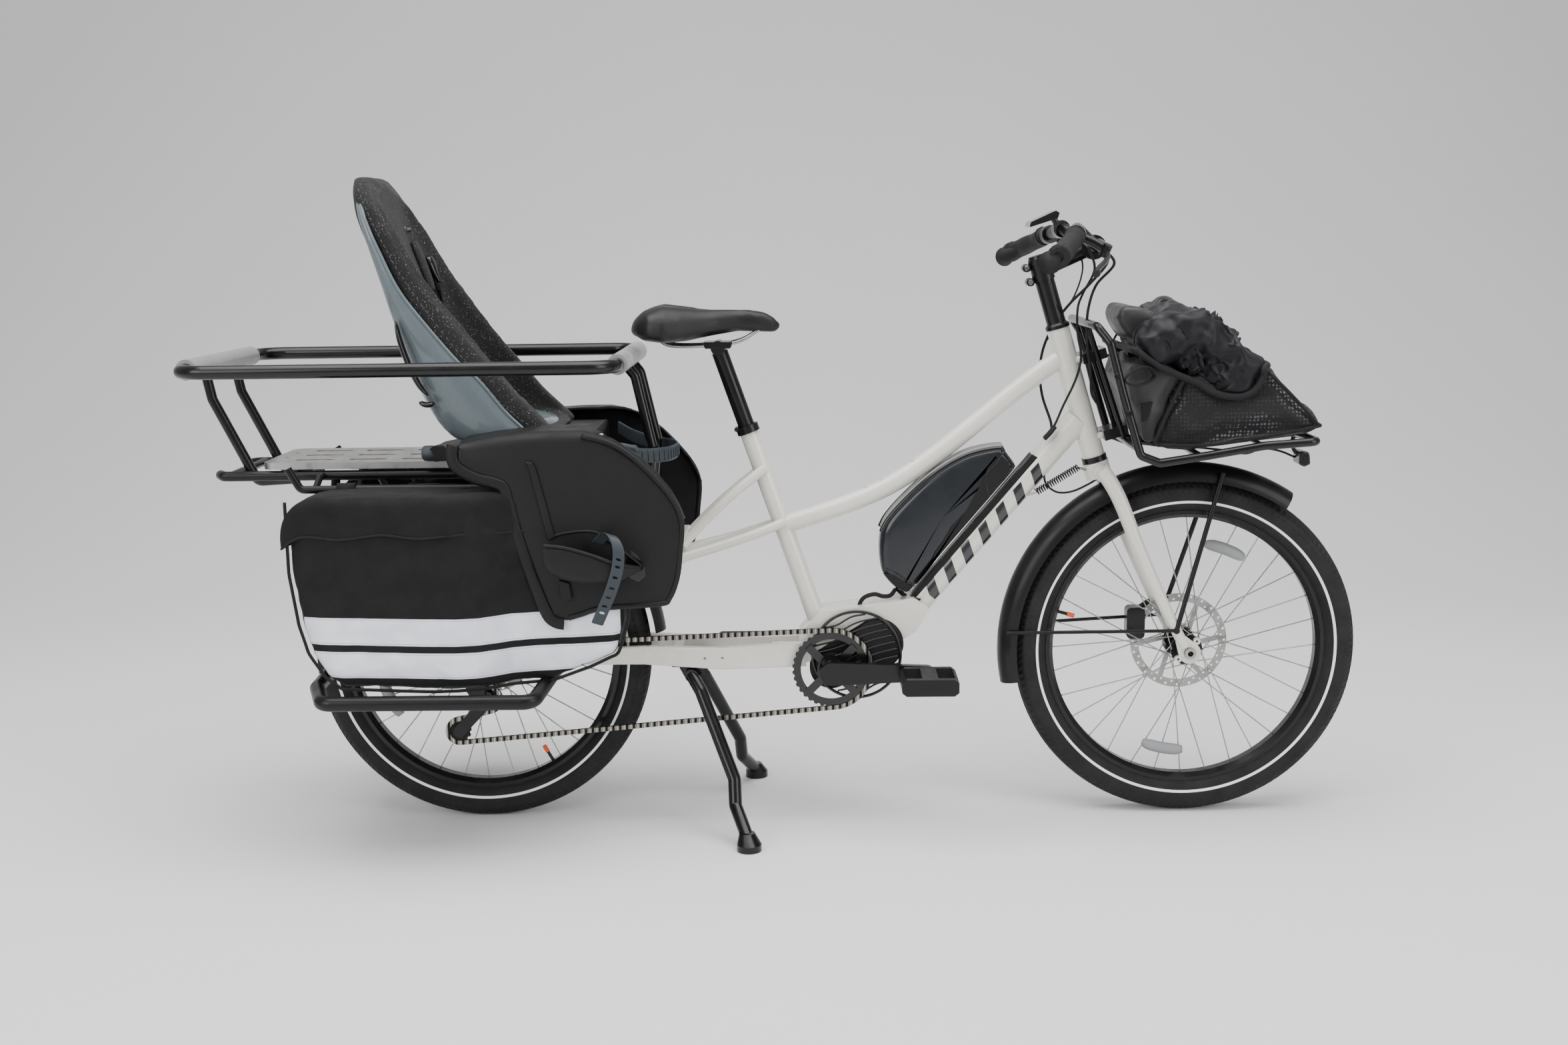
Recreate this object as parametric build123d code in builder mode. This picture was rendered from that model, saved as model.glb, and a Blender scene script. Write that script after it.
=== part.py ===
from build123d import *
import math
import os

# A long-tail cargo bicycle, upright on its two-leg stand. Millimetres, +Z up, +X forward.
# The origin is on the floor below the middle of the overall length. The drive side faces -Y.

os.makedirs("parts", exist_ok=True)

# ---- driving dimensions --------------------------------------------------------------
wheelbase = 1300.0
tyre_diameter = 627.0          # 24 inch wheel, 507 mm bead, 60 mm tyre
overall_length = 2092.0
axle_z = tyre_diameter / 2
front_x = overall_length / 2 - tyre_diameter / 2
rear_x = front_x - wheelbase
rim_outer = 256.0
rim_inner = 242.0
fender_radius = 344.0
rotor_radius = 90.0
front_spacing = 110.0          # between the fork ends
rear_spacing = 135.0           # between the frame ends
front_rotor_y = 38.5
rear_rotor_y = 50.0

head_foot = Vector(562, 0, 670)
head_angle = 73.8
head_length = 242.0
steerer_radius = 14.3
steerer_top = 372.0
running_gap = 0.05             # radial play of every running shaft

seat_angle = 71.0
seat_foot = Vector(58, 0, 361)
seat_tube_length = 392.0
post_radius = 15.0

crank_x = 80.0
crank_z = 288.0
crank_length = 172.5
chain_y = -52.0
chain_pitch = 12.7
ring_teeth = 36
cog_teeth = 11
motor_x = 165.0
motor_z = 331.0

guide_x, guide_z = -553.0, 236.0
tension_x, tension_z = -609.0, 177.0

stand_x, stand_z = -178.0, 276.7
deck_z = 676.0
deck_thick = 12.0
fixing_hole_radius = 4.0
rail_z = 860.0
rail_radius = 12.0
sleeve_radius, sleeve_half = 18.0, 176.0
rail_rear_x = -overall_length / 2 + sleeve_radius
rail_front_x = -283.0
rail_y = 242.0
bag_inner_y = 125.0
bag_outer_y = 286.0

head_sin = math.sin(math.radians(head_angle))
head_cos = math.cos(math.radians(head_angle))
steering = Plane(origin=head_foot, x_dir=(head_sin, 0, head_cos), z_dir=(-head_cos, 0, head_sin))
seat_axis = Vector(-math.cos(math.radians(seat_angle)), 0, math.sin(math.radians(seat_angle)))


# ---- helpers: every one adds to the sub-part that is open where it is called -----------
def tube(points, radius, bend=40.0, mode=Mode.ADD):
    """A round tube along straight stretches with rounded corners."""
    with BuildLine() as path:
        if len(points) == 2:
            Line(*points)
        else:
            FilletPolyline(*points, radius=bend)
    with BuildSketch(Plane(origin=path.line @ 0, z_dir=path.line % 0)) as section:
        Circle(radius)
    sweep(sections=section.sketch, path=path.line, mode=mode)


def curved_tube(points, radius, mode=Mode.ADD):
    """A round tube along a smooth curve."""
    with BuildLine() as path:
        Spline(*points)
    with BuildSketch(Plane(origin=path.line @ 0, z_dir=path.line % 0)) as section:
        Circle(radius)
    sweep(sections=section.sketch, path=path.line, mode=mode)


def tapered_tube(points, start_radius, end_radius):
    """A smooth curved tube that changes size from one end to the other."""
    with BuildLine() as path:
        Spline(*points)
    with BuildSketch(Plane(origin=path.line @ 0, z_dir=path.line % 0)) as first:
        Circle(start_radius)
    with BuildSketch(Plane(origin=path.line @ 1, z_dir=path.line % 1)) as last:
        Circle(end_radius)
    sweep(sections=[first.sketch, last.sketch], path=path.line, multisection=True)


def rod(start, end, radius, mode=Mode.ADD):
    """A straight round bar from one point to another."""
    run = Vector(*end) - Vector(*start)
    with BuildSketch(Plane(origin=start, z_dir=run)) as section:
        Circle(radius)
    extrude(to_extrude=section.sketch, amount=run.length, mode=mode)


def across(x, z, y_from, y_to, radius, mode=Mode.ADD):
    """A round bar parallel to the axles."""
    rod((x, y_from, z), (x, y_to, z), radius, mode=mode)


def plate(outline, y_from, y_to, corner=0.0, mode=Mode.ADD):
    """A flat side-view outline (x, z) given thickness across the bicycle."""
    with BuildSketch(Plane.XZ.offset(-y_to)) as face:
        with BuildLine():
            Polyline(*outline, close=True)
        make_face()
        if corner:
            fillet(face.vertices(), corner)
    extrude(to_extrude=face.sketch, amount=y_to - y_from, mode=mode)


def block(x_range, y_range, z_range, mode=Mode.ADD):
    """A straight box between the given limits."""
    middle = ((x_range[0] + x_range[1]) / 2, (y_range[0] + y_range[1]) / 2)
    with BuildSketch(Plane.XY.offset(z_range[0])) as face:
        with Locations(middle):
            Rectangle(x_range[1] - x_range[0], y_range[1] - y_range[0])
    extrude(to_extrude=face.sketch, amount=z_range[1] - z_range[0], mode=mode)


def turned(x, z, outline, mode=Mode.ADD):
    """A ring or shaft turned about an axle at (x, z); the outline is (y, radius)."""
    with BuildSketch(Plane.YZ.offset(x)) as face:
        with BuildLine():
            Polyline(*[(y, z + radius) for y, radius in outline], close=True)
        make_face()
    revolve(profiles=face.sketch, axis=Axis((x, 0, z), (0, 1, 0)), mode=mode)


def turned_about_head(outline, mode=Mode.ADD):
    """A ring or sleeve turned about the steering axis; the outline is (radius, height)."""
    with BuildSketch(Plane(origin=steering.origin, x_dir=steering.x_dir, z_dir=(0, -1, 0))) as face:
        with BuildLine():
            Polyline(*outline, close=True)
        make_face()
    revolve(profiles=face.sketch, axis=Axis(steering.origin, steering.z_dir), mode=mode)


def on_head(x, y, z):
    """A point given in the steering axis' own directions."""
    return steering.origin + steering.x_dir * x + Vector(0, y, 0) + steering.z_dir * z


def clear_of(*others):
    """Takes the room of neighbouring pieces out of the open sub-part."""
    for other in others:
        add(other.part, mode=Mode.SUBTRACT)


def finish(piece, label):
    """Names a finished sub-part and writes its file."""
    piece.part.label = label
    export_step(piece.part, f"parts/{label}.step")


# ---- wheels ---------------------------------------------------------------------------
def make_tyre(x):
    outer_half, inner_half = 16.0, 12.5
    with BuildPart() as tyre:
        with BuildSketch(Plane.YZ.offset(x)) as face:
            with BuildLine():
                crown, base = axle_z + tyre_diameter / 2, axle_z + rim_outer
                ThreePointArc((-outer_half, base), (0, crown), (outer_half, base))
                Line((outer_half, base), (inner_half, base))
                ThreePointArc((inner_half, base), (0, crown - 4.5), (-inner_half, base))
                Line((-inner_half, base), (-outer_half, base))
            make_face()
        revolve(profiles=face.sketch, axis=Axis((x, 0, axle_z), (0, 1, 0)))
    return tyre


def make_rim(x):
    outside = [(-18, rim_outer), (-18, 249), (-9, rim_inner), (9, rim_inner), (18, 249), (18, rim_outer)]
    inside = [(-15, rim_outer - 3), (-15, 250), (-8, 244.5), (8, 244.5), (15, 250), (15, rim_outer - 3)]
    with BuildPart() as rim:
        turned(x, axle_z, outside)
        turned(x, axle_z, inside, mode=Mode.SUBTRACT)
    return rim


def make_spokes(x, right_flange_y, left_flange_y, hub, rim):
    per_side, hole_radius, lead = 16, 26.5, 67.5
    with BuildPart() as spokes:
        for side, flange_y in enumerate((right_flange_y, left_flange_y)):
            for number in range(per_side):
                turn = 1 if number % 2 else -1
                start = math.radians(360 / per_side * (number + side / 2))
                end = start + turn * math.radians(lead)
                inner = (x + hole_radius * math.cos(start), flange_y + 2.4 * turn,
                         axle_z + hole_radius * math.sin(start))
                outer = (x + 243.5 * math.cos(end), 3.0 if side else -3.0,
                         axle_z + 243.5 * math.sin(end))
                rod(inner, outer, 1.1)
        clear_of(hub, rim)
    return spokes


def make_rotor(x, rotor_y, bore):
    with BuildPart() as rotor:
        with BuildSketch(Plane.XZ.offset(-rotor_y - 2)) as face:
            with Locations((x, axle_z)):
                Circle(rotor_radius)
                Circle(rotor_radius - 15, mode=Mode.SUBTRACT)
                Circle(30)
                with PolarLocations(0, 6):
                    with Locations((53, 0)):
                        Rectangle(52, 9, rotation=14)
                Circle(bore, mode=Mode.SUBTRACT)
                with PolarLocations(rotor_radius - 4.5, 24):
                    Circle(2.6, mode=Mode.SUBTRACT)
                with PolarLocations(rotor_radius - 10.5, 24, start_angle=7.5):
                    Circle(2.2, mode=Mode.SUBTRACT)
        extrude(to_extrude=face.sketch, amount=2)
    return rotor


front_tyre = make_tyre(front_x)
finish(front_tyre, "front_tyre")
front_rim = make_rim(front_x)
finish(front_rim, "front_rim")

front_end = front_spacing / 2
front_axle_radius = 7.5
with BuildPart() as front_hub:
    turned(front_x, axle_z, [
        (-front_end, front_axle_radius + running_gap), (-front_end, 12), (-36, 14), (-33, 14), (-33, 29),
        (-30, 29), (-30, 15), (26, 15), (26, 29), (29, 29), (29, 22), (front_rotor_y, 22),
        (front_rotor_y, 14.4), (44, 14.4), (44, 12), (front_end, 12),
        (front_end, front_axle_radius + running_gap)])
finish(front_hub, "front_hub")
front_spokes = make_spokes(front_x, -31.5, 27.5, front_hub, front_rim)
finish(front_spokes, "front_spokes")
front_rotor = make_rotor(front_x, front_rotor_y, 14.4)
finish(front_rotor, "front_rotor")

rear_tyre = make_tyre(rear_x)
finish(rear_tyre, "rear_tyre")
rear_rim = make_rim(rear_x)
finish(rear_rim, "rear_rim")

rear_end = rear_spacing / 2
rear_axle_radius = 5.0
freehub_radius = 15.0
with BuildPart() as rear_hub:
    turned(rear_x, axle_z, [
        (-rear_end, rear_axle_radius + running_gap), (-rear_end, 9), (-56, 9), (-56, freehub_radius),
        (-18, freehub_radius), (-18, 30), (-15, 30), (-15, 18), (29, 18), (29, 30), (32, 30), (32, 24),
        (rear_rotor_y, 24), (rear_rotor_y, 14.4), (56, 14.4), (56, 9), (rear_end, 9),
        (rear_end, rear_axle_radius + running_gap)])
finish(rear_hub, "rear_hub")
rear_spokes = make_spokes(rear_x, -16.5, 30.5, rear_hub, rear_rim)
finish(rear_spokes, "rear_spokes")
rear_rotor = make_rotor(rear_x, rear_rotor_y, 14.4)
finish(rear_rotor, "rear_rotor")

# ---- drive line -----------------------------------------------------------------------
def pitch_radius(teeth):
    return chain_pitch / (2 * math.sin(math.pi / teeth))


def toothed_disc(x, z, y, teeth, thick, bore, tip_drop=1.0, hub_radius=0.0):
    """A sprocket whose teeth stop just short of the chain's middle line."""
    pitch = pitch_radius(teeth)
    with BuildSketch(Plane.XZ.offset(-y - thick / 2)) as face:
        with Locations((x, z)):
            Circle(pitch - tip_drop)
            with PolarLocations(pitch, teeth, start_angle=90):
                Circle(3.95, mode=Mode.SUBTRACT)
            if hub_radius:
                Circle(hub_radius)
            Circle(bore, mode=Mode.SUBTRACT)
    extrude(to_extrude=face.sketch, amount=thick)


cog_step = 4.6
cog_sizes = (cog_teeth, 13, 15, 18, 21, 26, 32)
with BuildPart() as cassette:
    for number, teeth in enumerate(cog_sizes):
        toothed_disc(rear_x, axle_z, chain_y + cog_step * number, teeth, 1.8, freehub_radius + running_gap)
    turned(rear_x, axle_z, [(chain_y, freehub_radius + running_gap), (chain_y, 17.5),
                            (-25, 17.5), (-25, freehub_radius + running_gap)])
finish(cassette, "cassette")

with BuildPart() as guide_pulley:
    toothed_disc(guide_x, guide_z, chain_y, cog_teeth, 2.2, 2.5 + running_gap)
    across(guide_x, guide_z, chain_y - 4.5, chain_y + 4.5, 7)
    across(guide_x, guide_z, chain_y - 8, chain_y + 8, 2.5 + running_gap, mode=Mode.SUBTRACT)
finish(guide_pulley, "guide_pulley")

with BuildPart() as tension_pulley:
    toothed_disc(tension_x, tension_z, chain_y, cog_teeth, 2.2, 2.5 + running_gap)
    across(tension_x, tension_z, chain_y - 4.5, chain_y + 4.5, 7)
    across(tension_x, tension_z, chain_y - 8, chain_y + 8, 2.5 + running_gap, mode=Mode.SUBTRACT)
finish(tension_pulley, "tension_pulley")

# The chain runs round these wheels in order: x, z, pitch radius, +1 for the outer side.
chain_wheels = (
    (crank_x, crank_z, pitch_radius(ring_teeth), 1),
    (rear_x, axle_z, pitch_radius(cog_teeth), 1),
    (guide_x, guide_z, pitch_radius(cog_teeth), -1),
    (tension_x, tension_z, pitch_radius(cog_teeth), 1),
)


def chain_loop(grow):
    """Draws the closed line that keeps a distance 'grow' outside the chain's middle line."""
    spans = []
    for number, (x, z, radius, turn) in enumerate(chain_wheels):
        next_x, next_z, next_radius, next_turn = chain_wheels[(number + 1) % len(chain_wheels)]
        start_reach = turn * radius + grow
        end_reach = next_turn * next_radius + grow
        distance = math.hypot(next_x - x, next_z - z)
        heading = math.atan2(next_z - z, next_x - x)
        lean = math.asin((start_reach - end_reach) / distance)
        normal = heading - math.pi / 2 + lean
        away = (math.cos(normal), math.sin(normal))
        spans.append(((x + start_reach * away[0], z + start_reach * away[1]),
                      (next_x + end_reach * away[0], next_z + end_reach * away[1]), normal))
    for number, (start, end, normal) in enumerate(spans):
        x, z, radius, turn = chain_wheels[(number + 1) % len(chain_wheels)]
        next_start, _, next_normal = spans[(number + 1) % len(spans)]
        sweep_angle = (next_normal - normal) % (2 * math.pi)
        if turn < 0:
            sweep_angle -= 2 * math.pi
        middle = normal + sweep_angle / 2
        reach = turn * radius + grow
        Line(start, end)
        ThreePointArc(end, (x + reach * math.cos(middle), z + reach * math.sin(middle)), next_start)


link_height, link_thick, chain_half_width, roller_band = 8.2, 1.1, 3.3, 0.4
with BuildPart() as chain:
    for y_from, y_to, half_height in (
            (chain_y - chain_half_width, chain_y - chain_half_width + link_thick, link_height / 2),
            (chain_y - 2.3, chain_y + 2.3, roller_band),
            (chain_y + chain_half_width - link_thick, chain_y + chain_half_width, link_height / 2)):
        with BuildSketch(Plane.XZ.offset(-y_to)) as band:
            with BuildLine():
                chain_loop(half_height)
            make_face()
            with BuildLine():
                chain_loop(-half_height)
            make_face(mode=Mode.SUBTRACT)
        extrude(to_extrude=band.sketch, amount=y_to - y_from)
finish(chain, "chain")

spindle_radius = 12.0
arm_inner_y, arm_outer_y = 82.0, 95.0
with BuildPart() as crank_arms:
    across(crank_x, crank_z, -arm_outer_y, arm_outer_y, spindle_radius)
    for side in (-1, 1):
        end_x = crank_x - side * crank_length
        y_from, y_to = sorted((side * arm_inner_y, side * arm_outer_y))
        with BuildSketch(Plane.XZ.offset(-y_to)) as arm:
            with Locations((crank_x, crank_z)):
                Circle(21)
            with Locations((end_x, crank_z)):
                Circle(14)
            make_hull()
            with Locations((end_x, crank_z)):
                Circle(6.0, mode=Mode.SUBTRACT)
        extrude(to_extrude=arm.sketch, amount=y_to - y_from)
finish(crank_arms, "crank_arms")

with BuildPart() as chainring:
    toothed_disc(crank_x, crank_z, chain_y, ring_teeth, 2.4, 56)
    with BuildSketch(Plane.XZ.offset(-chain_y + 1.2)) as spider:
        with Locations((crank_x, crank_z)):
            Circle(26)
            with PolarLocations(0, 4, start_angle=45):
                with Locations((42, 0)):
                    Rectangle(36, 15)
            Circle(spindle_radius, mode=Mode.SUBTRACT)
    extrude(to_extrude=spider.sketch, amount=4)
    turned(crank_x, crank_z, [(-arm_inner_y, spindle_radius), (-arm_inner_y, 19), (chain_y - 1.2, 24),
                              (chain_y - 1.2, spindle_radius)])
finish(chainring, "chainring")


def make_pedal(side):
    pedal_x = crank_x - side * crank_length
    inner, outer = side * (arm_outer_y + 7), side * (arm_outer_y + 103)
    y_from, y_to = sorted((inner, outer))
    with BuildPart() as pedal:
        outline = [(pedal_x - 50, crank_z - 9), (pedal_x - 42, crank_z - 15), (pedal_x + 42, crank_z - 15),
                   (pedal_x + 50, crank_z - 9), (pedal_x + 50, crank_z + 9), (pedal_x + 42, crank_z + 15),
                   (pedal_x - 42, crank_z + 15), (pedal_x - 50, crank_z + 9)]
        plate(outline, y_from, y_to)
        with BuildSketch(Plane.XY.offset(crank_z - 20)) as windows:
            with Locations((pedal_x, (inner + outer) / 2)):
                with GridLocations(58, 0, 2, 1):
                    Rectangle(30, 70)
        extrude(to_extrude=windows.sketch, amount=40, mode=Mode.SUBTRACT)
        across(pedal_x, crank_z, side * arm_inner_y, inner, 6.0 - running_gap)
        across(pedal_x, crank_z, side * (arm_outer_y + 0.4), inner, 9)
    return pedal


pedal_right = make_pedal(-1)
finish(pedal_right, "pedal_right")
pedal_left = make_pedal(1)
finish(pedal_left, "pedal_left")

motor_half = 40.0
with BuildPart() as drive_unit:
    with BuildSketch(Plane.XZ.offset(-motor_half)) as motor_face:
        with Locations((crank_x, crank_z)):
            Circle(40)
        with Locations((motor_x, motor_z)):
            Circle(48)
        make_hull()
    extrude(to_extrude=motor_face.sketch, amount=2 * motor_half)
    for y_from, y_to, radius in ((-47.5, -motor_half, 46), (motor_half, 47.5, 44)):
        across(motor_x, motor_z, y_from, y_to, radius)
        across(crank_x, crank_z, y_from, y_to, 30)
    across(crank_x, crank_z, -60, 60, spindle_radius + running_gap, mode=Mode.SUBTRACT)
finish(drive_unit, "drive_unit")

# ---- steering column ------------------------------------------------------------------
with BuildPart() as fork:
    turned_about_head([(11, -34), (steerer_radius, -34), (steerer_radius, steerer_top), (11, steerer_top)])
    turned_about_head([(11, -40), (24, -40), (24, -11), (19, -10.3), (11, -10.3)])
    for side in (-1, 1):
        crown_end = on_head(2, side * 52, -30)
        rod(on_head(0, side * 14, -24), crown_end, 14)
        tapered_tube([on_head(1, side * 50, -20), (600, side * 53, 600), (626, side * 55, 535),
                      (663, side * 58, 449), (704, side * 59, 362), (724, side * 59, 325)], 14.5, 9.5)
        y_from, y_to = sorted((side * front_end, side * (front_end + 8)))
        y_from, y_to = y_from + (0.1 if side > 0 else 0), y_to - (0.1 if side < 0 else 0)
        with BuildSketch(Plane.XZ.offset(-y_to)) as end_face:
            with Locations((front_x, axle_z)):
                Circle(20)
            with Locations((718, 336)):
                Circle(11)
            make_hull()
            with Locations((712, 302)):
                Circle(6)
            with Locations((745, 335)):
                Circle(6)
            with Locations((712, 302), (745, 335)):
                Circle(2.5, mode=Mode.SUBTRACT)
        extrude(to_extrude=end_face.sketch, amount=y_to - y_from)
    across(front_x, axle_z, -80, 80, front_axle_radius, mode=Mode.SUBTRACT)
finish(fork, "fork")

with BuildPart() as front_axle:
    turned(front_x, axle_z, [(-70, 5), (-70, 10), (-63.2, 11), (-63.2, front_axle_radius),
                             (63.2, front_axle_radius), (63.2, 11), (70, 10), (70, 5)])
    clear_of(fork)
finish(front_axle, "front_axle")

bar_centre = Vector(554, 0, 1046)


def bar_path(side):
    return [bar_centre, bar_centre + Vector(0, side * 36, 0), (514, side * 84, 1079),
            (492, side * 200, 1065), (448.5, side * 330, 1035.5)]


with BuildPart() as handlebar:
    for side in (-1, 1):
        tube(bar_path(side), 11.1, 28)
    across(bar_centre.X, bar_centre.Z, -34, 34, 15.9)
finish(handlebar, "handlebar")

with BuildPart() as stem:
    turned_about_head([(steerer_radius, head_length + 10.3), (17.5, head_length + 10.3), (17.5, 332),
                       (20, 332), (20, steerer_top), (steerer_radius, steerer_top)])
    rod(on_head(17, 0, 353), bar_centre, 14)
    across(bar_centre.X, bar_centre.Z, -22, 22, 22)
    turned_about_head([(0, steerer_top), (19, steerer_top), (17, steerer_top + 6), (0, steerer_top + 6)])
    clear_of(handlebar, fork)
finish(stem, "stem")

grip_start = Vector(494.5, 192.4, 1066.7)
grip_end = Vector(447.2, 334, 1034.6)
with BuildPart() as grips:
    for side in (-1, 1):
        inner_end = (grip_start.X, side * grip_start.Y, grip_start.Z)
        outer_end = (grip_end.X, side * grip_end.Y, grip_end.Z)
        tube([inner_end, (492, side * 200, 1065), outer_end], 16.5, 6)
    clear_of(handlebar)
finish(grips, "grips")

lever_pivot = Vector(546, 192, 1042)
lever_axis = Vector(0.35, 0.317, 0.882).normalized()
with BuildPart() as lever_bodies:
    for side in (-1, 1):
        axis = Vector(lever_axis.X, side * lever_axis.Y, lever_axis.Z)
        pivot = Vector(lever_pivot.X, side * lever_pivot.Y, lever_pivot.Z)
        rod((501.5, side * 158, 1069.5), (498.3, side * 174, 1067.8), 17)
        tube([(503, side * 166, 1068), (528, side * 172, 1056), (545, side * 176, 1046)], 8, 12)
        rod((544, side * 132, 1052), (548, side * 178, 1044), 10)
        rod(pivot + axis * 6.4, pivot + axis * 11, 8)
        rod(pivot - axis * 11, pivot - axis * 6.4, 8)
        for level in (8.7, -8.7):
            start = Vector(546, side * 176, 1045) + axis * level
            rod(start, pivot + axis * level, 2.3)
        rod(pivot - axis * 6.4, pivot + axis * 6.4, 8.3, mode=Mode.SUBTRACT)
        rod(pivot - axis * 11, pivot + axis * 11, 3)
    clear_of(handlebar, grips)
finish(lever_bodies, "lever_bodies")


def make_lever(side):
    axis = Vector(lever_axis.X, side * lever_axis.Y, lever_axis.Z)
    pivot = Vector(lever_pivot.X, side * lever_pivot.Y, lever_pivot.Z)
    with BuildPart() as lever:
        rod(pivot - axis * 6.3, pivot + axis * 6.3, 8)
        curved_tube([pivot + Vector(1, side * 2, 0), (544, side * 222, 1030), (526, side * 268, 1018),
                     (514, side * 304, 1008)], 4.5)
        rod((514, side * 304, 1008), (511.5, side * 310, 1006.4), 6.5)
        rod(pivot - axis * 12, pivot + axis * 12, 3 + running_gap, mode=Mode.SUBTRACT)
        clear_of(lever_bodies)
    return lever


brake_lever_right = make_lever(-1)
finish(brake_lever_right, "brake_lever_right")
brake_lever_left = make_lever(1)
finish(brake_lever_left, "brake_lever_left")

with BuildPart() as display:
    plate([(449, 1082), (452, 1092), (497, 1112), (504, 1108), (501, 1098)], 60, 132, 2)
    rod((498, 96, 1097), (510, 96, 1080), 6)
    rod((512.5, 88, 1079), (509.7, 104, 1077.5), 16)
    clear_of(handlebar)
finish(display, "display")


def fender_shell(x, start_angle, end_angle, drop=17.0, half_width=34.0):
    """A curved strip over a wheel, arched across its width."""
    edge, crown, thick = fender_radius - drop, fender_radius, 2.0
    axis = Axis((x, 0, axle_z), (0, -1, 0))
    begin = math.radians(start_angle)
    outward = Vector(math.cos(begin), 0, math.sin(begin))
    section_plane = Plane(origin=(x, 0, axle_z), x_dir=(0, 1, 0), z_dir=Vector(0, 1, 0).cross(outward))
    with BuildSketch(section_plane) as face:
        with BuildLine():
            ThreePointArc((-half_width, edge), (0, crown), (half_width, edge))
            Line((half_width, edge), (half_width - thick, edge))
            ThreePointArc((half_width - thick, edge), (0, crown - thick), (thick - half_width, edge))
            Line((thick - half_width, edge), (-half_width, edge))
        make_face()
    revolve(profiles=face.sketch, axis=axis, revolution_arc=end_angle - start_angle)


def wheel_point(x, angle, radius, y):
    turn = math.radians(angle)
    return (x + radius * math.cos(turn), y, axle_z + radius * math.sin(turn))


with BuildPart() as front_fender:
    fender_shell(front_x, 56, 191, 33.0)
    rod(on_head(0, 0, -48), wheel_point(front_x, 116.3, fender_radius - 1, 0), 7)
    clear_of(fork)
finish(front_fender, "front_fender")

stay_y = 69.0
with BuildPart() as fender_stays:
    for side in (-1, 1):
        for angle, radius in ((80.0, 4.5), (174.0, 3.2)):
            edge_point = wheel_point(front_x, angle, fender_radius - 12, side * 36)
            rod((706, side * stay_y, 357), edge_point, radius)
            rod((706, side * 66, 357), (706, side * (stay_y + 2), 357), 6)
    clear_of(fork, front_fender)
finish(fender_stays, "fender_stays")


def make_caliper(centre, wheel_x, rotor_y, carrier, *neighbours):
    """A two-sided brake body that reaches over the rim of its rotor."""
    cx, cz = centre
    with BuildPart() as caliper:
        block((cx - 17, cx + 17), (rotor_y - 13, rotor_y + 16), (cz - 30, cz + 30))
        fillet(caliper.edges().filter_by(Axis.Y), 9)
        across(cx, cz, rotor_y + 10, rotor_y + 19, 12)
        across(wheel_x, axle_z, rotor_y - 0.7, rotor_y + 2.7, rotor_radius + 2, mode=Mode.SUBTRACT)
        tube(carrier, 5.5, 8)
        clear_of(*neighbours)
    return caliper


front_caliper = make_caliper((650, 350), front_x, front_rotor_y, [(655, 52, 370), (680, 60, 385), (698, 60, 378)],
                             fork, fender_stays)
finish(front_caliper, "front_caliper")

# ---- frame ----------------------------------------------------------------------------
seat_top = seat_foot + seat_axis * seat_tube_length
stay_bridge_x = -188.0
with BuildPart() as main_frame:
    turned_about_head([(0, 0), (20.5, 0), (20.5, head_length), (0, head_length)])
    rod((232, 0, 388), (532, 0, 737.5), 23.5)
    curved_tube([(-8, 0, 548), (73, 0, 573), (174, 0, 612), (295, 0, 691), (497, 0, 846)], 17.5)
    rod(tuple(seat_foot), tuple(seat_top), 17)
    plate([(18, 296), (22, 350), (60, 392), (150, 402), (232, 416), (262, 396), (236, 352), (196, 330),
           (120, 330), (60, 300)], -38, 38, 6)
    for side in (-1, 1):
        stations = ((34, 33, 313, 16, 46), (-30, 38, 311, 17, 44), (-123, 46, 309, 18, 40),
                    (-263, 53, 318.5, 18, 34), (-400, 63, 318, 14, 28), (-540, 71, 314, 8, 26))
        profiles = []
        for x, y, z, wide, high in stations:
            with BuildSketch(Plane.YZ.offset(x)) as profile:
                with Locations((side * y, z)):
                    RectangleRounded(wide, high, 3.5)
            profiles.append(profile.sketch)
        loft(sections=profiles, ruled=True)
        curved_tube([(-4, side * 15, 556), (-52, side * 26, 538), (-110, side * 34, 519.7),
                     (-188, side * 46, 498), (-330, side * 60, 452), (-470, side * 71, 390),
                     (-548, side * 71, 336)], 9)
        curved_tube([(-38, side * 14, 656), (-80, side * 26, 624), (-150, side * 34, 561),
                     (-189, side * 42, 520)], 9)
        y_from, y_to = sorted((side * (rear_end + 0.1), side * (rear_end + 7)))
        plate([(-592, 300), (-560, 286), (-522, 300), (-520, 328), (-536, 348), (-560, 348), (-588, 330)],
              y_from, y_to, 5)
    plate([(-197, 487), (-184, 487), (-181, 543), (-195, 543)], -44, 44, 2)
    plate([(-30, 296), (30, 296), (30, 322), (-30, 322)], -34, 34)
    plate([(-214, 300), (-196, 300), (-196, 322), (-214, 322)], -48, 48)
    for level, forward in ((178.0, 26.0), (34.0, 26.0)):
        for side in (-1, 1):
            rod(on_head(0, side * 9, level), on_head(forward, side * 9, level), 6)
    for x, z in ((150, 621), (180, 634), (236, 667)):
        for side in (-1, 1):
            rod((x, side * 6, z - 8), (x - 3, side * 6, z + 0.5), 3.5)
    turned_about_head([(0, -1), (17.01, -1), (17.01, head_length + 1), (0, head_length + 1)], mode=Mode.SUBTRACT)
    rod(tuple(seat_top - seat_axis * 230), tuple(seat_top + seat_axis), post_radius + running_gap,
        mode=Mode.SUBTRACT)
    across(rear_x, axle_z, -90, 90, rear_axle_radius, mode=Mode.SUBTRACT)
    for hole_x in (-212, -180):
        across(hole_x + 60, 311, -80, -30, 2.5, mode=Mode.SUBTRACT)
    clear_of(drive_unit)
finish(main_frame, "main_frame")

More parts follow.
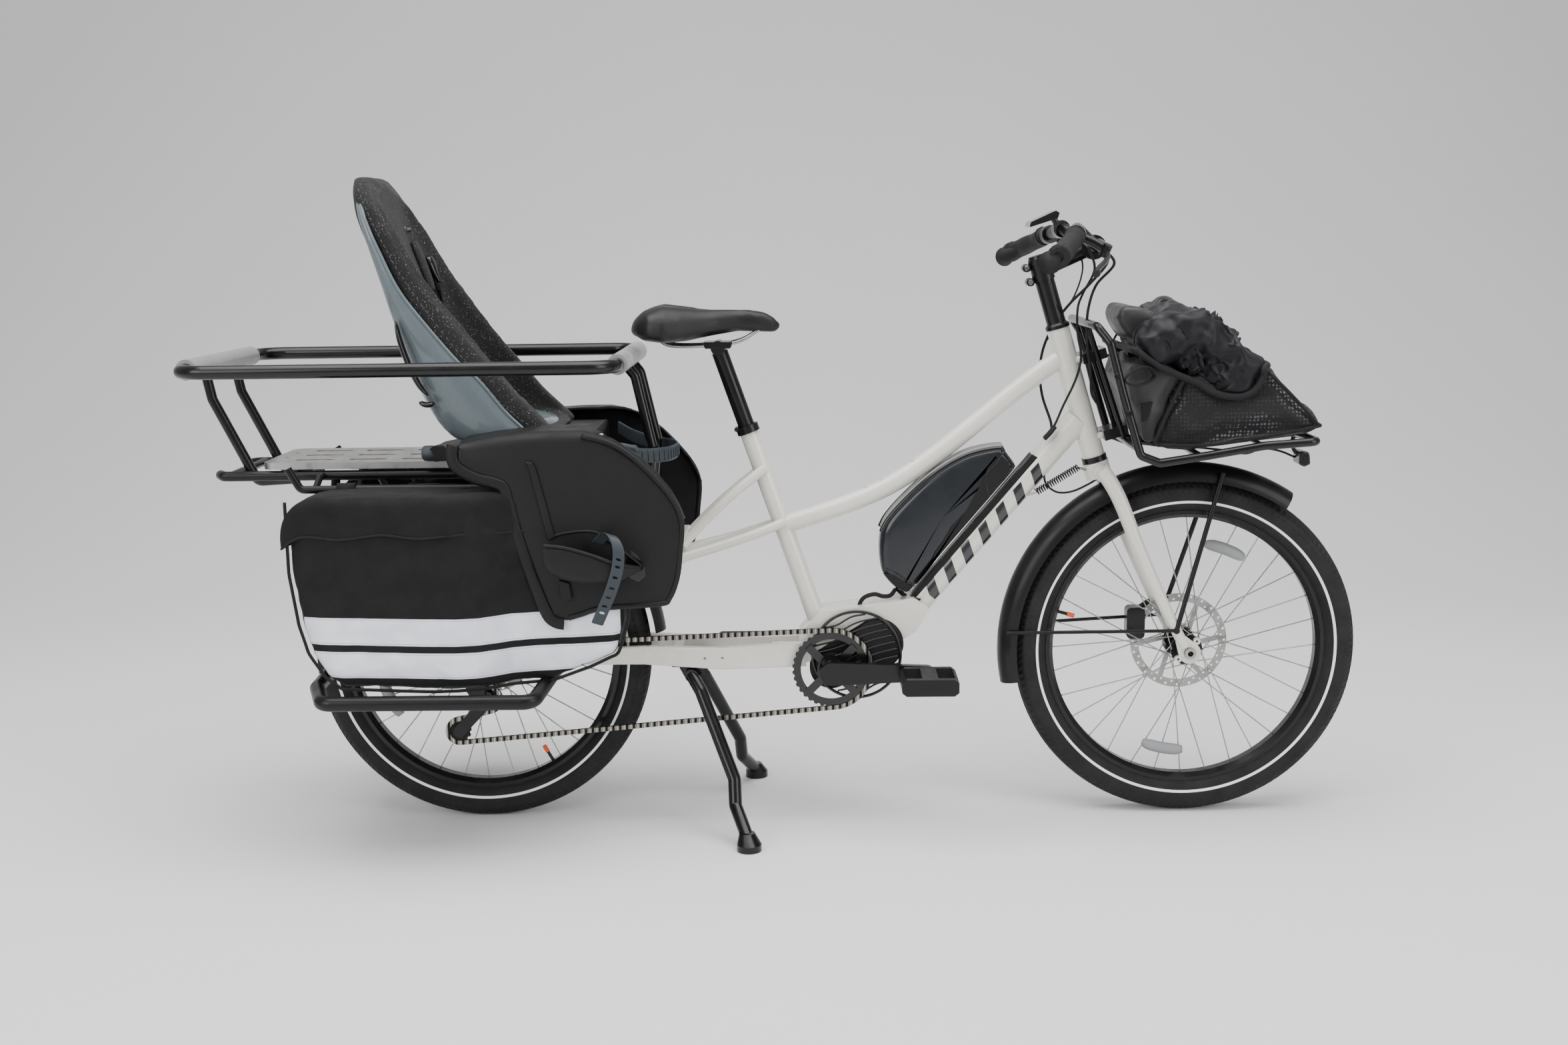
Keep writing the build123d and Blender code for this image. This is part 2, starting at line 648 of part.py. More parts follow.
with BuildPart() as headset_cups:
    bore = steerer_radius + running_gap
    turned_about_head([(bore, -10), (23, -10), (23, 0), (17, 0), (17, 14), (bore, 14)])
    turned_about_head([(bore, head_length - 14), (17, head_length - 14), (17, head_length), (22, head_length),
                       (22, head_length + 6), (18, head_length + 10), (bore, head_length + 10)])
finish(headset_cups, "headset_cups")

with BuildPart() as seat_clamp:
    rod(tuple(seat_top - seat_axis * 12), tuple(seat_top + seat_axis * 2), 21)
    rod(tuple(seat_top - seat_axis * 5 + Vector(-20, -14, 0)),
        tuple(seat_top - seat_axis * 5 + Vector(-20, 14, 0)), 4)
    rod(tuple(seat_top - seat_axis * 40), tuple(seat_top + seat_axis * 5), 17, mode=Mode.SUBTRACT)
finish(seat_clamp, "seat_clamp")

post_top = seat_foot + seat_axis * 536
with BuildPart() as seatpost:
    rod(tuple(seat_top - seat_axis * 180), tuple(post_top), post_radius)
    across(post_top.X - 2, post_top.Z + 8, -26, 26, 13)
finish(seatpost, "seatpost")

with BuildPart() as saddle:
    plate([(-277, 908), (-263, 933), (-217, 953), (-132, 943), (-61, 945), (-19, 934), (-5, 912), (-14, 903),
           (-82, 906), (-133, 897), (-173, 887), (-215, 884), (-250, 888)], -90, 90)
    with BuildSketch(Plane.XY.offset(860)) as plan:
        with BuildLine():
            for side in (-1, 1):
                Spline((-276, 0), (-262, side * 62), (-215, side * 84), (-150, side * 52), (-80, side * 26),
                       (-20, side * 17), (-4, 0), tangents=[(0, side), (0, -side)])
        make_face()
    extrude(to_extrude=plan.sketch, amount=120, mode=Mode.INTERSECT)
    for side in (-1, 1):
        tube([(-226, side * 22, 890), (-190, side * 22, 881), (-80, side * 20, 886), (-42, side * 6, 916)], 3.5, 12)
    clear_of(seatpost)
finish(saddle, "saddle")

with BuildPart() as battery_cradle:
    plate([(214, 400), (236, 392), (470, 664), (448, 676)], -20, 20, 3)
    plate([(209, 397), (232, 394), (246, 412), (228, 415)], -27, 27)
    rod((224.7, 0, 407), (200.25, 0, 427.62), 4)
    clear_of(main_frame)
with BuildPart() as battery:
    plate([(173, 536), (178, 480), (192, 440), (215, 419), (236, 430), (372, 592), (424, 655), (414, 684),
           (392, 688), (340, 678), (285, 648), (250, 618), (208, 576)], -36, 36, 6)
    fillet(battery.edges().group_by(Axis.Y)[0] + battery.edges().group_by(Axis.Y)[-1], 5)
    clear_of(battery_cradle, main_frame)
    rod((224.7, 0, 407), (199.5, 0, 428.25), 4 + running_gap, mode=Mode.SUBTRACT)
finish(battery_cradle, "battery_cradle")
finish(battery, "battery")

with BuildPart() as rear_axle:
    across(rear_x, axle_z, -80, 80, rear_axle_radius)
    across(rear_x, axle_z, rear_end + 7, rear_end + 13, 9)
    across(rear_x, axle_z, -rear_end - 13, -rear_end - 7, 9)
    clear_of(main_frame)
finish(rear_axle, "rear_axle")

with BuildPart() as derailleur:
    plate([(-592, 262), (-572, 288), (-556, 284), (-556, 240), (-574, 232)], -74.6, -66, 4)
    plate([(-586, 236), (-572, 262), (-546, 252), (-540, 232), (-556, 222)], -66, -58.5, 3)
    for y_from, y_to in ((chain_y - 7.2, chain_y - 5.6), (chain_y + 5.6, chain_y + 7.2)):
        with BuildSketch(Plane.XZ.offset(-y_to)) as cage:
            for x, z in ((guide_x, guide_z), (tension_x, tension_z)):
                with Locations((x, z)):
                    Circle(11)
            make_hull()
        extrude(to_extrude=cage.sketch, amount=y_to - y_from)
    across(guide_x, guide_z, chain_y - 8, chain_y + 8, 2.5)
    across(tension_x, tension_z, chain_y - 8, chain_y + 8, 2.5)
    clear_of(main_frame, rear_axle)
finish(derailleur, "derailleur")

rear_caliper = make_caliper((-508, 380), rear_x, rear_rotor_y, [(-502, 64, 356), (-505, 71, 345), (-520, 71, 338)],
                            main_frame)
finish(rear_caliper, "rear_caliper")

# ---- rear carrier ---------------------------------------------------------------------
with BuildPart() as rear_rack:
    for side in (-1, 1):
        tube([(-215, side * 38, 500), (-246, side * 52, 600), (-262, side * 100, 664),
              (-1000, side * 100, 664), (-1012, side * 80, 664)], 9, 10)
        tube([(-867, side * 160, 684), (-846, side * 160, 647), (-330, side * 160, 647),
              (-300, side * 104, 662)], 7, 12)
        tube([(-560, side * 80, 345), (-640, side * 94, 500), (-720, side * 98, 664)], 8, 30)
        tube([(-800, side * 96, 664), (-832, side * 98, 400), (-832, side * 104, 304)], 8, 30)
        for x in (-820, -520, -360):
            tube([(x, side * 96, 664), (x, side * 130, 664), (x, side * 160, 648)], 6, 10)
    for x in (-985, -870, -300):
        rod((x, -104, 666), (x, 104, 666), 7)
    clear_of(main_frame, rear_axle)
finish(rear_rack, "rear_rack")

with BuildPart() as deck:
    with BuildSketch(Plane.XY.offset(deck_z)) as deck_plan:
        with Locations((-605, 0)):
            RectangleRounded(650, 214, 24)
            with GridLocations(96, 66, 6, 3):
                SlotOverall(70, 14, mode=Mode.SUBTRACT)
        with Locations((-906, -33), (-906, 33)):
            Circle(fixing_hole_radius, mode=Mode.SUBTRACT)
    extrude(to_extrude=deck_plan.sketch, amount=deck_thick)
    clear_of(rear_rack)
finish(deck, "deck")

with BuildPart() as running_boards:
    for side in (-1, 1):
        tube([(-404, side * 74, 322), (-412, side * 190, 318), (-430, side * 300, 298),
              (-790, side * 300, 298), (-826, side * 200, 300), (-832, side * 104, 300)], 13, 22)
    clear_of(main_frame, rear_rack)
finish(running_boards, "running_boards")

fender_arc = (7.0, 160.0)
with BuildPart() as rear_fender:
    fender_shell(rear_x, *fender_arc)
    block((-300, -280), (-8, 8), (520, 530))
    rod((rear_x, 0, axle_z + fender_radius - 1), (rear_x, 0, 664), 6)
    rod(wheel_point(rear_x, 25, fender_radius - 2, 0), (-190, 0, 500), 5)
    for side in (-1, 1):
        rod(wheel_point(rear_x, 150, fender_radius - 15, side * 35), (-588, side * 70, 330), 2.5)
    clear_of(main_frame, rear_rack, deck)
finish(rear_fender, "rear_fender")

with BuildPart() as rail_posts:
    for side in (-1, 1):
        tube([(-248, side * 58, 622), (-238, side * 54, 703), (-266, side * 50, 830), (-284, side * 50, rail_z - 8)],
             9, 20)
        tube([(-872, side * 80, 656), (-946, side * 80, 652), (-1018, side * 80, 800), (rail_rear_x, side * 80, rail_z - 8)],
             9, 14)
    clear_of(rear_rack, deck, main_frame, rear_fender)
with BuildPart() as guard_rails:
    corner = 52.0
    middle_x = (rail_rear_x + rail_front_x) / 2
    for end_x in (rail_front_x, rail_rear_x):
        tube([(middle_x, -rail_y, rail_z), (end_x, -rail_y, rail_z), (end_x, rail_y, rail_z),
              (middle_x, rail_y, rail_z)], rail_radius, corner)
finish(guard_rails, "guard_rails")
with BuildPart() as rail_sleeves:
    for x in (rail_rear_x, rail_front_x):
        with BuildSketch(Plane.XZ.offset(-sleeve_half)) as ring:
            with Locations((x, rail_z)):
                Circle(sleeve_radius)
                Circle(rail_radius, mode=Mode.SUBTRACT)
        extrude(to_extrude=ring.sketch, amount=2 * sleeve_half)
finish(rail_sleeves, "rail_sleeves")
with BuildPart() as rail_posts_trimmed:
    add(rail_posts.part)
    clear_of(guard_rails, rail_sleeves)
rail_posts = rail_posts_trimmed
finish(rail_posts, "rail_posts")

# ---- stand ----------------------------------------------------------------------------
stand_rod_radius = 8.0
with BuildPart() as stand_bracket:
    block((-214, -142), (-44, 44), (292, 299))
    plate([(-204, 293), (-152, 293), (-164, 270), (-178, 262), (-192, 270)], -30, 30, 3)
    across(stand_x, stand_z, -40, 40, stand_rod_radius + running_gap, mode=Mode.SUBTRACT)
    clear_of(main_frame)
finish(stand_bracket, "stand_bracket")

with BuildPart() as stand_legs:
    across(stand_x, stand_z, -46, 46, stand_rod_radius)
    for side in (-1, 1):
        across(stand_x, stand_z, *sorted((side * 31, side * 50)), 12)
        tube([(stand_x, side * 42, stand_z), (-160, side * 60, 250), (-98, side * 130, 104),
              (-96, side * 152, 62), (-70, side * 212, 14)], 12, 14)
        with BuildSketch(Plane.XY) as foot:
            with Locations((-70, side * 214)):
                Circle(22)
        extrude(to_extrude=foot.sketch, amount=12)
        with BuildSketch(Plane.XY.offset(12)) as foot_low:
            with Locations((-70, side * 214)):
                Circle(22)
        with BuildSketch(Plane.XY.offset(30)) as foot_high:
            with Locations((-74, side * 206)):
                Circle(14)
        loft(sections=[foot_low.sketch, foot_high.sketch])
    block((-200, 0), (-300, 300), (-30, 0), mode=Mode.SUBTRACT)
finish(stand_legs, "stand_legs")

# ---- front carrier --------------------------------------------------------------------
front_hoop = [(920, 30, 711), (920, 165, 711), (829, 165, 705), (733, 165, 689), (650, 165, 677),
              (617, 165, 690), (584, 165, 800), (562, 165, 884), (541, 150, 913)]
with BuildPart() as front_rack:
    tube(front_hoop + [(x, -y, z) for x, y, z in reversed(front_hoop)], 7.5, 12)
    across(920, 711, -38, 38, 8.6)
    for side in (-1, 1):
        rod((541, side * 34, 913), (612, side * 34, 702), 5)
        rod((612, side * 34, 702), (720, side * 34, 688), 5)
        rod((720, side * 34, 688), (920, side * 34, 711), 5)
    for x, z, radius in ((612, 702, 6), (720, 688, 6), (829, 704.9, 4)):
        across(x, z, -165, 165, radius)
    for level in (178.0, 34.0):
        block_plane = Plane(origin=on_head(24, 0, level), x_dir=steering.x_dir, z_dir=steering.z_dir)
        with BuildSketch(block_plane) as lug:
            with Locations((22, 0)):
                Rectangle(44, 70)
        extrude(to_extrude=lug.sketch, amount=9, both=True)
    clear_of(main_frame)
finish(front_rack, "front_rack")

with BuildPart() as front_bag:
    plate([(608, 900), (636, 938), (684, 918), (717, 934), (788, 912), (850, 855), (952, 728), (950, 722),
           (829, 714), (733, 698), (668, 704), (640, 714), (622, 790)], -150, 150)
    offset(amount=-4, openings=front_bag.faces().sort_by(Axis.Z)[-1])
finish(front_bag, "front_bag")

# ---- luggage and child seat -----------------------------------------------------------
bag_floor_z, bag_top_z = 314.0, 640.0


def make_bag(side):
    """An open-topped box of fabric, thinner in front for the heels, under a flat lid."""
    outline = [(-838, bag_top_z), (-838, 520), (-818, 392), (-782, 336), (-757, bag_floor_z),
               (-406, bag_floor_z), (-338, 340), (-285, 362), (-268, 420), (-262, bag_top_z)]
    with BuildPart() as bag:
        plate(outline, *sorted((side * bag_inner_y, side * bag_outer_y)))
        with BuildSketch(Plane.XY.offset(200)) as heel_room:
            with BuildLine():
                Polyline((-540, side * 300), (-540, side * bag_outer_y), (-456, side * 230),
                         (-200, side * 222), (-200, side * 300), close=True)
            make_face()
        extrude(to_extrude=heel_room.sketch, amount=500, mode=Mode.SUBTRACT)
        offset(amount=-4, openings=bag.faces().sort_by(Axis.Z)[-1])
        with BuildSketch(Plane.XY.offset(bag_top_z)) as lid:
            with BuildLine():
                Polyline((-844, side * 118), (-844, side * 290), (-538, side * 290), (-454, side * 233),
                         (-252, side * 226), (-252, side * 118), close=True)
            make_face()
        extrude(to_extrude=lid.sketch, amount=6)
        clear_of(rear_rack, running_boards, rail_posts, rear_fender, main_frame)
    return bag


bag_right = make_bag(-1)
finish(bag_right, "bag_right")
bag_left = make_bag(1)
finish(bag_left, "bag_left")

deck_top = deck_z + deck_thick
guard_y = 236.0
guard_outline = [(-549, 700), (-517, 683), (-469, 670), (-447, 578), (-401, 442), (-382, 425), (-348, 434),
                 (-313, 444), (-216, 450), (-192, 468), (-178, 526), (-170, 599), (-192, 648), (-243, 706),
                 (-290, 740), (-342, 753), (-450, 750), (-545, 735)]
with BuildPart() as child_seat_base:
    plate([(-640, deck_top), (-340, deck_top), (-340, 704), (-592, 712), (-636, 704)], -100, 100, 4)
    for side in (-1, 1):
        y_from, y_to = sorted((side * guard_y, side * (guard_y + 6)))
        plate(guard_outline, y_from, y_to, 6)
        plate([(-549, 702), (-545, 735), (-450, 750), (-342, 753), (-342, 744), (-450, 740), (-538, 726),
               (-540, 702)], *sorted((side * 150, side * (guard_y + 6))))
        rod((-500, side * 98, 697), (-500, side * 160, 735), 8)
        rod((-400, side * 98, 697), (-400, side * 160, 738), 8)
    clear_of(deck, rear_rack, rail_posts, guard_rails, bag_right, bag_left)
finish(child_seat_base, "child_seat_base")

shell_back = [(-770, 1198), (-769, 1160), (-726, 1006), (-692, 922), (-645, 765), (-592, 716), (-452, 705),
              (-372, 743), (-378, 752), (-455, 722), (-580, 734), (-628, 776), (-674, 926), (-708, 1010),
              (-750, 1163), (-752, 1198)]
shell_side = [(-752, 1196), (-750, 1163), (-708, 1010), (-674, 926), (-628, 776), (-580, 734), (-455, 722),
              (-376, 750), (-420, 812), (-520, 850), (-600, 930), (-660, 1060), (-690, 1196)]
with BuildPart() as child_seat_shell:
    plate(shell_back, -150, 150)
    for side in (-1, 1):
        plate(shell_side, *sorted((side * 144, side * 150)))
    clear_of(child_seat_base, guard_rails)
finish(child_seat_shell, "child_seat_shell")

with BuildPart() as child_seat_cushion:
    plate([(-751, 1190), (-749, 1163), (-707, 1010), (-673, 926), (-627, 776), (-579, 735), (-455, 723),
           (-380, 751), (-398, 762), (-458, 748), (-560, 762), (-600, 790), (-650, 934), (-684, 1020),
           (-722, 1166), (-722, 1190)], -143.5, 143.5)
    clear_of(child_seat_shell, child_seat_base)
finish(child_seat_cushion, "child_seat_cushion")


def make_footrest(side):
    near, far = guard_y + 6.2, guard_y + 56
    with BuildPart() as footrest:
        plate([(-397, 580), (-389, 521), (-243, 509), (-231, 524), (-240, 534), (-378, 545), (-386, 580)],
              *sorted((side * near, side * far)), 3)
        for y_start in (near, far - 4):
            plate([(-397, 590), (-389, 521), (-243, 509), (-231, 524), (-256, 562), (-330, 586)],
                  *sorted((side * y_start, side * (y_start + 4))), 3)
    return footrest


footrest_right = make_footrest(-1)
finish(footrest_right, "footrest_right")
footrest_left = make_footrest(1)
finish(footrest_left, "footrest_left")

with BuildPart() as child_seat_lock:
    across(-613, 703, -124, -100.4, 14)
    plate([(-622, 710), (-610, 692), (-574, 690), (-572, 697), (-606, 716)], -128, -120, 2)
finish(child_seat_lock, "child_seat_lock")
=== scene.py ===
import math

import bmesh
import bpy
from mathutils import Matrix, Vector, noise


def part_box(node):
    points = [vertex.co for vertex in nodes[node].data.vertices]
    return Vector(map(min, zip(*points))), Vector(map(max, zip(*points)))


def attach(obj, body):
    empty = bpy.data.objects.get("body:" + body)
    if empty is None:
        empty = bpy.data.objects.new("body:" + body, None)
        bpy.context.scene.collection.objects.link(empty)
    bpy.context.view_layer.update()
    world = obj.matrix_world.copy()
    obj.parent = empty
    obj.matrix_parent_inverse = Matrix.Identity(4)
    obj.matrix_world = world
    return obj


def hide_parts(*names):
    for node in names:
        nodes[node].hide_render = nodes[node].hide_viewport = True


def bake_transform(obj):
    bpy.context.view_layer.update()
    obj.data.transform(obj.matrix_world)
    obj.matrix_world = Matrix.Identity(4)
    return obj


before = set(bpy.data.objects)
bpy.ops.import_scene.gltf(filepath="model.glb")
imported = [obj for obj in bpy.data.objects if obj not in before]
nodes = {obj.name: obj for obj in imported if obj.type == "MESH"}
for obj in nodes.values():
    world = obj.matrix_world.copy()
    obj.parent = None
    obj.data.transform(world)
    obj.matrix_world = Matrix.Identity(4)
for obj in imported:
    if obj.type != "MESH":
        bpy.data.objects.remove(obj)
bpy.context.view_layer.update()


# ---- materials --------------------------------------------------------------------------
def shader(tree, kind, inputs=None, **settings):
    """Adds one shader node; an input is a value or another node's output."""
    node = tree.nodes.new("ShaderNode" + kind)
    for key, value in settings.items():
        setattr(node, key, value)
    for key, value in (inputs or {}).items():
        if isinstance(value, bpy.types.NodeSocket):
            tree.links.new(value, node.inputs[key])
        else:
            node.inputs[key].default_value = value
    return node


def math_node(tree, operation, first, second=0.0, clamp=False):
    return shader(tree, "Math", {0: first, 1: second}, operation=operation, use_clamp=clamp).outputs[0]


def mix_colour(tree, factor, first, second):
    node = shader(tree, "Mix", {0: factor}, data_type="RGBA")
    for socket, value in ((6, first), (7, second)):
        if isinstance(value, bpy.types.NodeSocket):
            tree.links.new(value, node.inputs[socket])
        else:
            node.inputs[socket].default_value = (*value[:3], 1.0)
    return node.outputs[2]


def band(tree, value, low, high, soft):
    """1 between low and high, falling to 0 over 'soft' on each side."""
    rise = shader(tree, "MapRange", {0: value, 1: low - soft, 2: low, 3: 0.0, 4: 1.0}).outputs[0]
    fall = shader(tree, "MapRange", {0: value, 1: high, 2: high + soft, 3: 1.0, 4: 0.0}).outputs[0]
    return math_node(tree, "MULTIPLY", rise, fall)


class Look:
    """A material whose colour and relief are built up from the place on the object."""

    def __init__(self, name, rough=0.5, metal=0.0, coat=0.0, sheen=0.0, shine=0.5):
        self.material = bpy.data.materials.new(name)
        self.material.use_nodes = True
        self.tree = self.material.node_tree
        self.out = self.tree.nodes["Principled BSDF"]
        self.out.inputs["Roughness"].default_value = rough
        self.out.inputs["Metallic"].default_value = metal
        self.out.inputs["Coat Weight"].default_value = coat
        self.out.inputs["Coat Roughness"].default_value = 0.08
        self.out.inputs["Sheen Weight"].default_value = sheen
        self.out.inputs["Specular IOR Level"].default_value = shine
        self.rough = rough
        self.place = shader(self.tree, "TexCoord").outputs["Object"]
        split = shader(self.tree, "SeparateXYZ", {0: self.place})
        self.x, self.y, self.z = split.outputs
        self.height = None

    def speckle(self, scale, detail=4.0, stretch=None):
        place = self.place
        if stretch:
            place = shader(self.tree, "Mapping", {"Vector": self.place, "Scale": stretch}).outputs[0]
        return shader(self.tree, "TexNoise", {"Vector": place, "Scale": scale, "Detail": detail}).outputs[0]

    def colour(self, base, vary=0.12, scale=9.0, wear=0.0, worn=(0.5, 0.5, 0.5)):
        """Base colour with soft variation, and lighter where an edge is rubbed."""
        dark = [c * (1 - vary) for c in base]
        light = [min(1.0, c * (1 + vary)) for c in base]
        result = mix_colour(self.tree, self.speckle(scale), dark, light)
        if wear:
            edge = shader(self.tree, "NewGeometry").outputs["Pointiness"]
            edge = shader(self.tree, "MapRange", {0: edge, 1: 0.53, 2: 0.6, 3: 0.0, 4: wear}).outputs[0]
            edge = math_node(self.tree, "MULTIPLY", edge, self.speckle(60))
            result = mix_colour(self.tree, edge, result, worn)
        self.tree.links.new(result, self.out.inputs["Base Color"])
        self.base = result
        return self

    def over(self, mask, paint):
        """Lays another colour over the base where the mask is 1."""
        self.base = mix_colour(self.tree, mask, self.base, paint)
        self.tree.links.new(self.base, self.out.inputs["Base Color"])
        return self

    def relief(self, height, strength, distance=0.001):
        """Adds bumps; later calls add to earlier ones."""
        inputs = {"Height": height, "Strength": strength, "Distance": distance}
        if self.height is not None:
            inputs["Normal"] = self.height
        self.height = shader(self.tree, "Bump", inputs).outputs[0]
        self.tree.links.new(self.height, self.out.inputs["Normal"])
        return self

    def uneven(self, amount=0.12, scale=25.0):
        """Roughness that changes gently over the surface."""
        low, high = self.rough - amount, self.rough + amount
        value = shader(self.tree, "MapRange", {0: self.speckle(scale), 1: 0.3, 2: 0.7, 3: max(0.03, low),
                                               4: min(1.0, high)}).outputs[0]
        self.tree.links.new(value, self.out.inputs["Roughness"])
        return self

    def weave(self, pitch=0.0012, strength=0.35):
        """Crossed threads, made from waves along x+y and z."""
        turns = 2 * math.pi / pitch
        along = math_node(self.tree, "ADD", self.x, self.y)
        warp = math_node(self.tree, "SINE", math_node(self.tree, "MULTIPLY", along, turns))
        weft = math_node(self.tree, "SINE", math_node(self.tree, "MULTIPLY", self.z, turns))
        return self.relief(math_node(self.tree, "MULTIPLY", warp, weft), strength, 0.0004)


def painted(name, base, rough=0.28, coat=0.6, shine=0.4):
    worn = [0.6 * c + 0.01 for c in base]
    look = Look(name, rough, coat=coat, shine=shine).colour(base, 0.035, 5, wear=0.25, worn=worn).uneven(0.06)
    return look.relief(look.speckle(700), 0.04, 0.0003).material


def plastic(name, base, rough=0.45, grain=0.25, coat=0.0):
    look = Look(name, rough, coat=coat, shine=0.25).colour(base, 0.14, 12, wear=0.2,
                                                           worn=[1.6 * c + 0.006 for c in base]).uneven(0.1)
    return look.relief(look.speckle(1500, 3), grain, 0.0004).material


def metal(name, base, rough=0.3, stretch=(1, 1, 30)):
    look = Look(name, rough, metal=1.0).colour(base, 0.12, 40).uneven(0.1, 80)
    return look.relief(look.speckle(120, 4, stretch), 0.08, 0.0003).material


def rubber(name, base, rough=0.7):
    look = Look(name, rough, shine=0.3).colour(base, 0.2, 20, wear=0.2,
                                               worn=[1.6 * c + 0.01 for c in base]).uneven(0.12)
    return look.relief(look.speckle(900), 0.35, 0.0005).material


def cloth(name, base, rough=0.75, pitch=0.0012, weave=0.35, sheen=0.04):
    look = Look(name, rough, sheen=sheen, shine=0.2).colour(base, 0.22, 14).uneven(0.1)
    look.weave(pitch, weave)
    return look.relief(look.speckle(35, 3), 0.5, 0.002).material


def foam(name, base):
    """Dense foam with fine pale flecks."""
    look = Look(name, 0.8, sheen=0.05, shine=0.25).colour(base, 0.2, 18)
    fleck = shader(look.tree, "MapRange",
                   {0: look.speckle(420, 2), 1: 0.64, 2: 0.7, 3: 0.0, 4: 0.75}).outputs[0]
    look.over(fleck, (0.22, 0.22, 0.22))
    return look.relief(look.speckle(520, 3), 0.6, 0.0008).material


WHITE = (0.69, 0.67, 0.61)
BLACK = (0.005, 0.005, 0.0055)
m_paint = painted("cream_paint", WHITE)
m_black_paint = painted("black_paint", BLACK, 0.24, 0.12, 0.3)
m_satin = painted("satin_black", (0.006, 0.006, 0.0065), 0.36, 0.05, 0.25)
m_plastic = plastic("black_plastic", (0.008, 0.008, 0.0085), 0.5)
m_gloss = plastic("gloss_black", (0.005, 0.005, 0.0055), 0.2, 0.05, 0.5)
m_slate = plastic("slate_plastic", (0.012, 0.014, 0.017), 0.3, 0.06, 0.4)
m_shell = plastic("shell_plastic", (0.115, 0.142, 0.155), 0.28, 0.05, 0.45)
m_grey = plastic("grey_plastic", (0.055, 0.065, 0.075), 0.5)
m_spine = plastic("spine_plastic", (0.25, 0.255, 0.26), 0.35, 0.05)
m_sleeve = plastic("sleeve_cover", (0.24, 0.24, 0.245), 0.35, 0.1)
m_rubber = rubber("black_rubber", (0.010, 0.010, 0.010))
m_alloy = plastic("black_alloy", (0.006, 0.006, 0.0065), 0.28, 0.05, 0.1)
m_steel = metal("bright_steel", (0.36, 0.36, 0.35), 0.25)
m_rotor = metal("ground_steel", (0.34, 0.34, 0.33), 0.32, (1, 1, 1))


def chain_material():
    """Steel links: a band of painted shade for the gap between link plates and a bright pin at every pitch along the
    runs.
    """
    look = Look("chain_steel", 0.32, metal=0.9).colour((0.20, 0.185, 0.16), 0.2, 40)
    step = math_node(look.tree, "FRACT", math_node(look.tree, "MULTIPLY", look.x, 1 / 0.0127))
    # painted shade: the near-black band stands for the shadow in the gap between the link plates
    look.over(band(look.tree, step, 0.36, 0.64, 0.06), (0.012, 0.011, 0.010))
    look.over(band(look.tree, step, 0.02, 0.12, 0.03), (0.5, 0.48, 0.45))
    return look.relief(step, 0.6, 0.0015).material


m_chain = chain_material()
m_cloth = cloth("bag_cloth", (0.0075, 0.007, 0.0075))
m_nylon = cloth("coated_nylon", (0.009, 0.009, 0.011), 0.40, 0.0006, 0.12, 0.03)
m_foam = foam("flecked_foam", (0.013, 0.0125, 0.0125))
m_web = cloth("webbing", (0.010, 0.010, 0.0105), 0.6, 0.0022, 0.6)
m_red = plastic("valve_cap", (0.75, 0.10, 0.03), 0.5, 0.1)
m_saddle = rubber("saddle_cover", (0.009, 0.009, 0.0095), 0.45)


def tyre_material(name, axle):
    """Black rubber with block tread on the crown and a pale ring on each side."""
    look = Look(name, 0.75, shine=0.3).colour((0.012, 0.012, 0.012), 0.25, 30, wear=0.2).uneven(0.12)
    tree = look.tree
    across_x = math_node(tree, "SUBTRACT", look.x, axle.x)
    across_z = math_node(tree, "SUBTRACT", look.z, axle.z)
    squares = math_node(tree, "ADD", math_node(tree, "MULTIPLY", across_x, across_x),
                        math_node(tree, "MULTIPLY", across_z, across_z))
    radius = math_node(tree, "SQRT", squares)
    angle = math_node(tree, "ARCTAN2", across_z, across_x)
    look.over(band(tree, radius, 0.2712, 0.2752, 0.0005), (0.92, 0.93, 0.95))
    side = math_node(tree, "ABSOLUTE", look.y)
    lean = math_node(tree, "MULTIPLY", side, 160.0)
    blocks = math_node(tree, "SINE", math_node(tree, "ADD", math_node(tree, "MULTIPLY", angle, 150.0), lean))
    grooves = math_node(tree, "SINE", math_node(tree, "MULTIPLY", side, 520.0))
    tread = math_node(tree, "MULTIPLY", math_node(tree, "MAXIMUM", blocks, grooves),
                      band(tree, radius, 0.292, 0.33, 0.004))
    look.relief(tread, 0.9, 0.0022)
    threads = math_node(tree, "SINE", math_node(tree, "MULTIPLY", radius, 5200.0))
    return look.relief(threads, 0.15, 0.0003).material


def centre_of(node):
    low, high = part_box(node)
    return (low + high) / 2


front_axle = centre_of("front_rim")
rear_axle = centre_of("rear_rim")


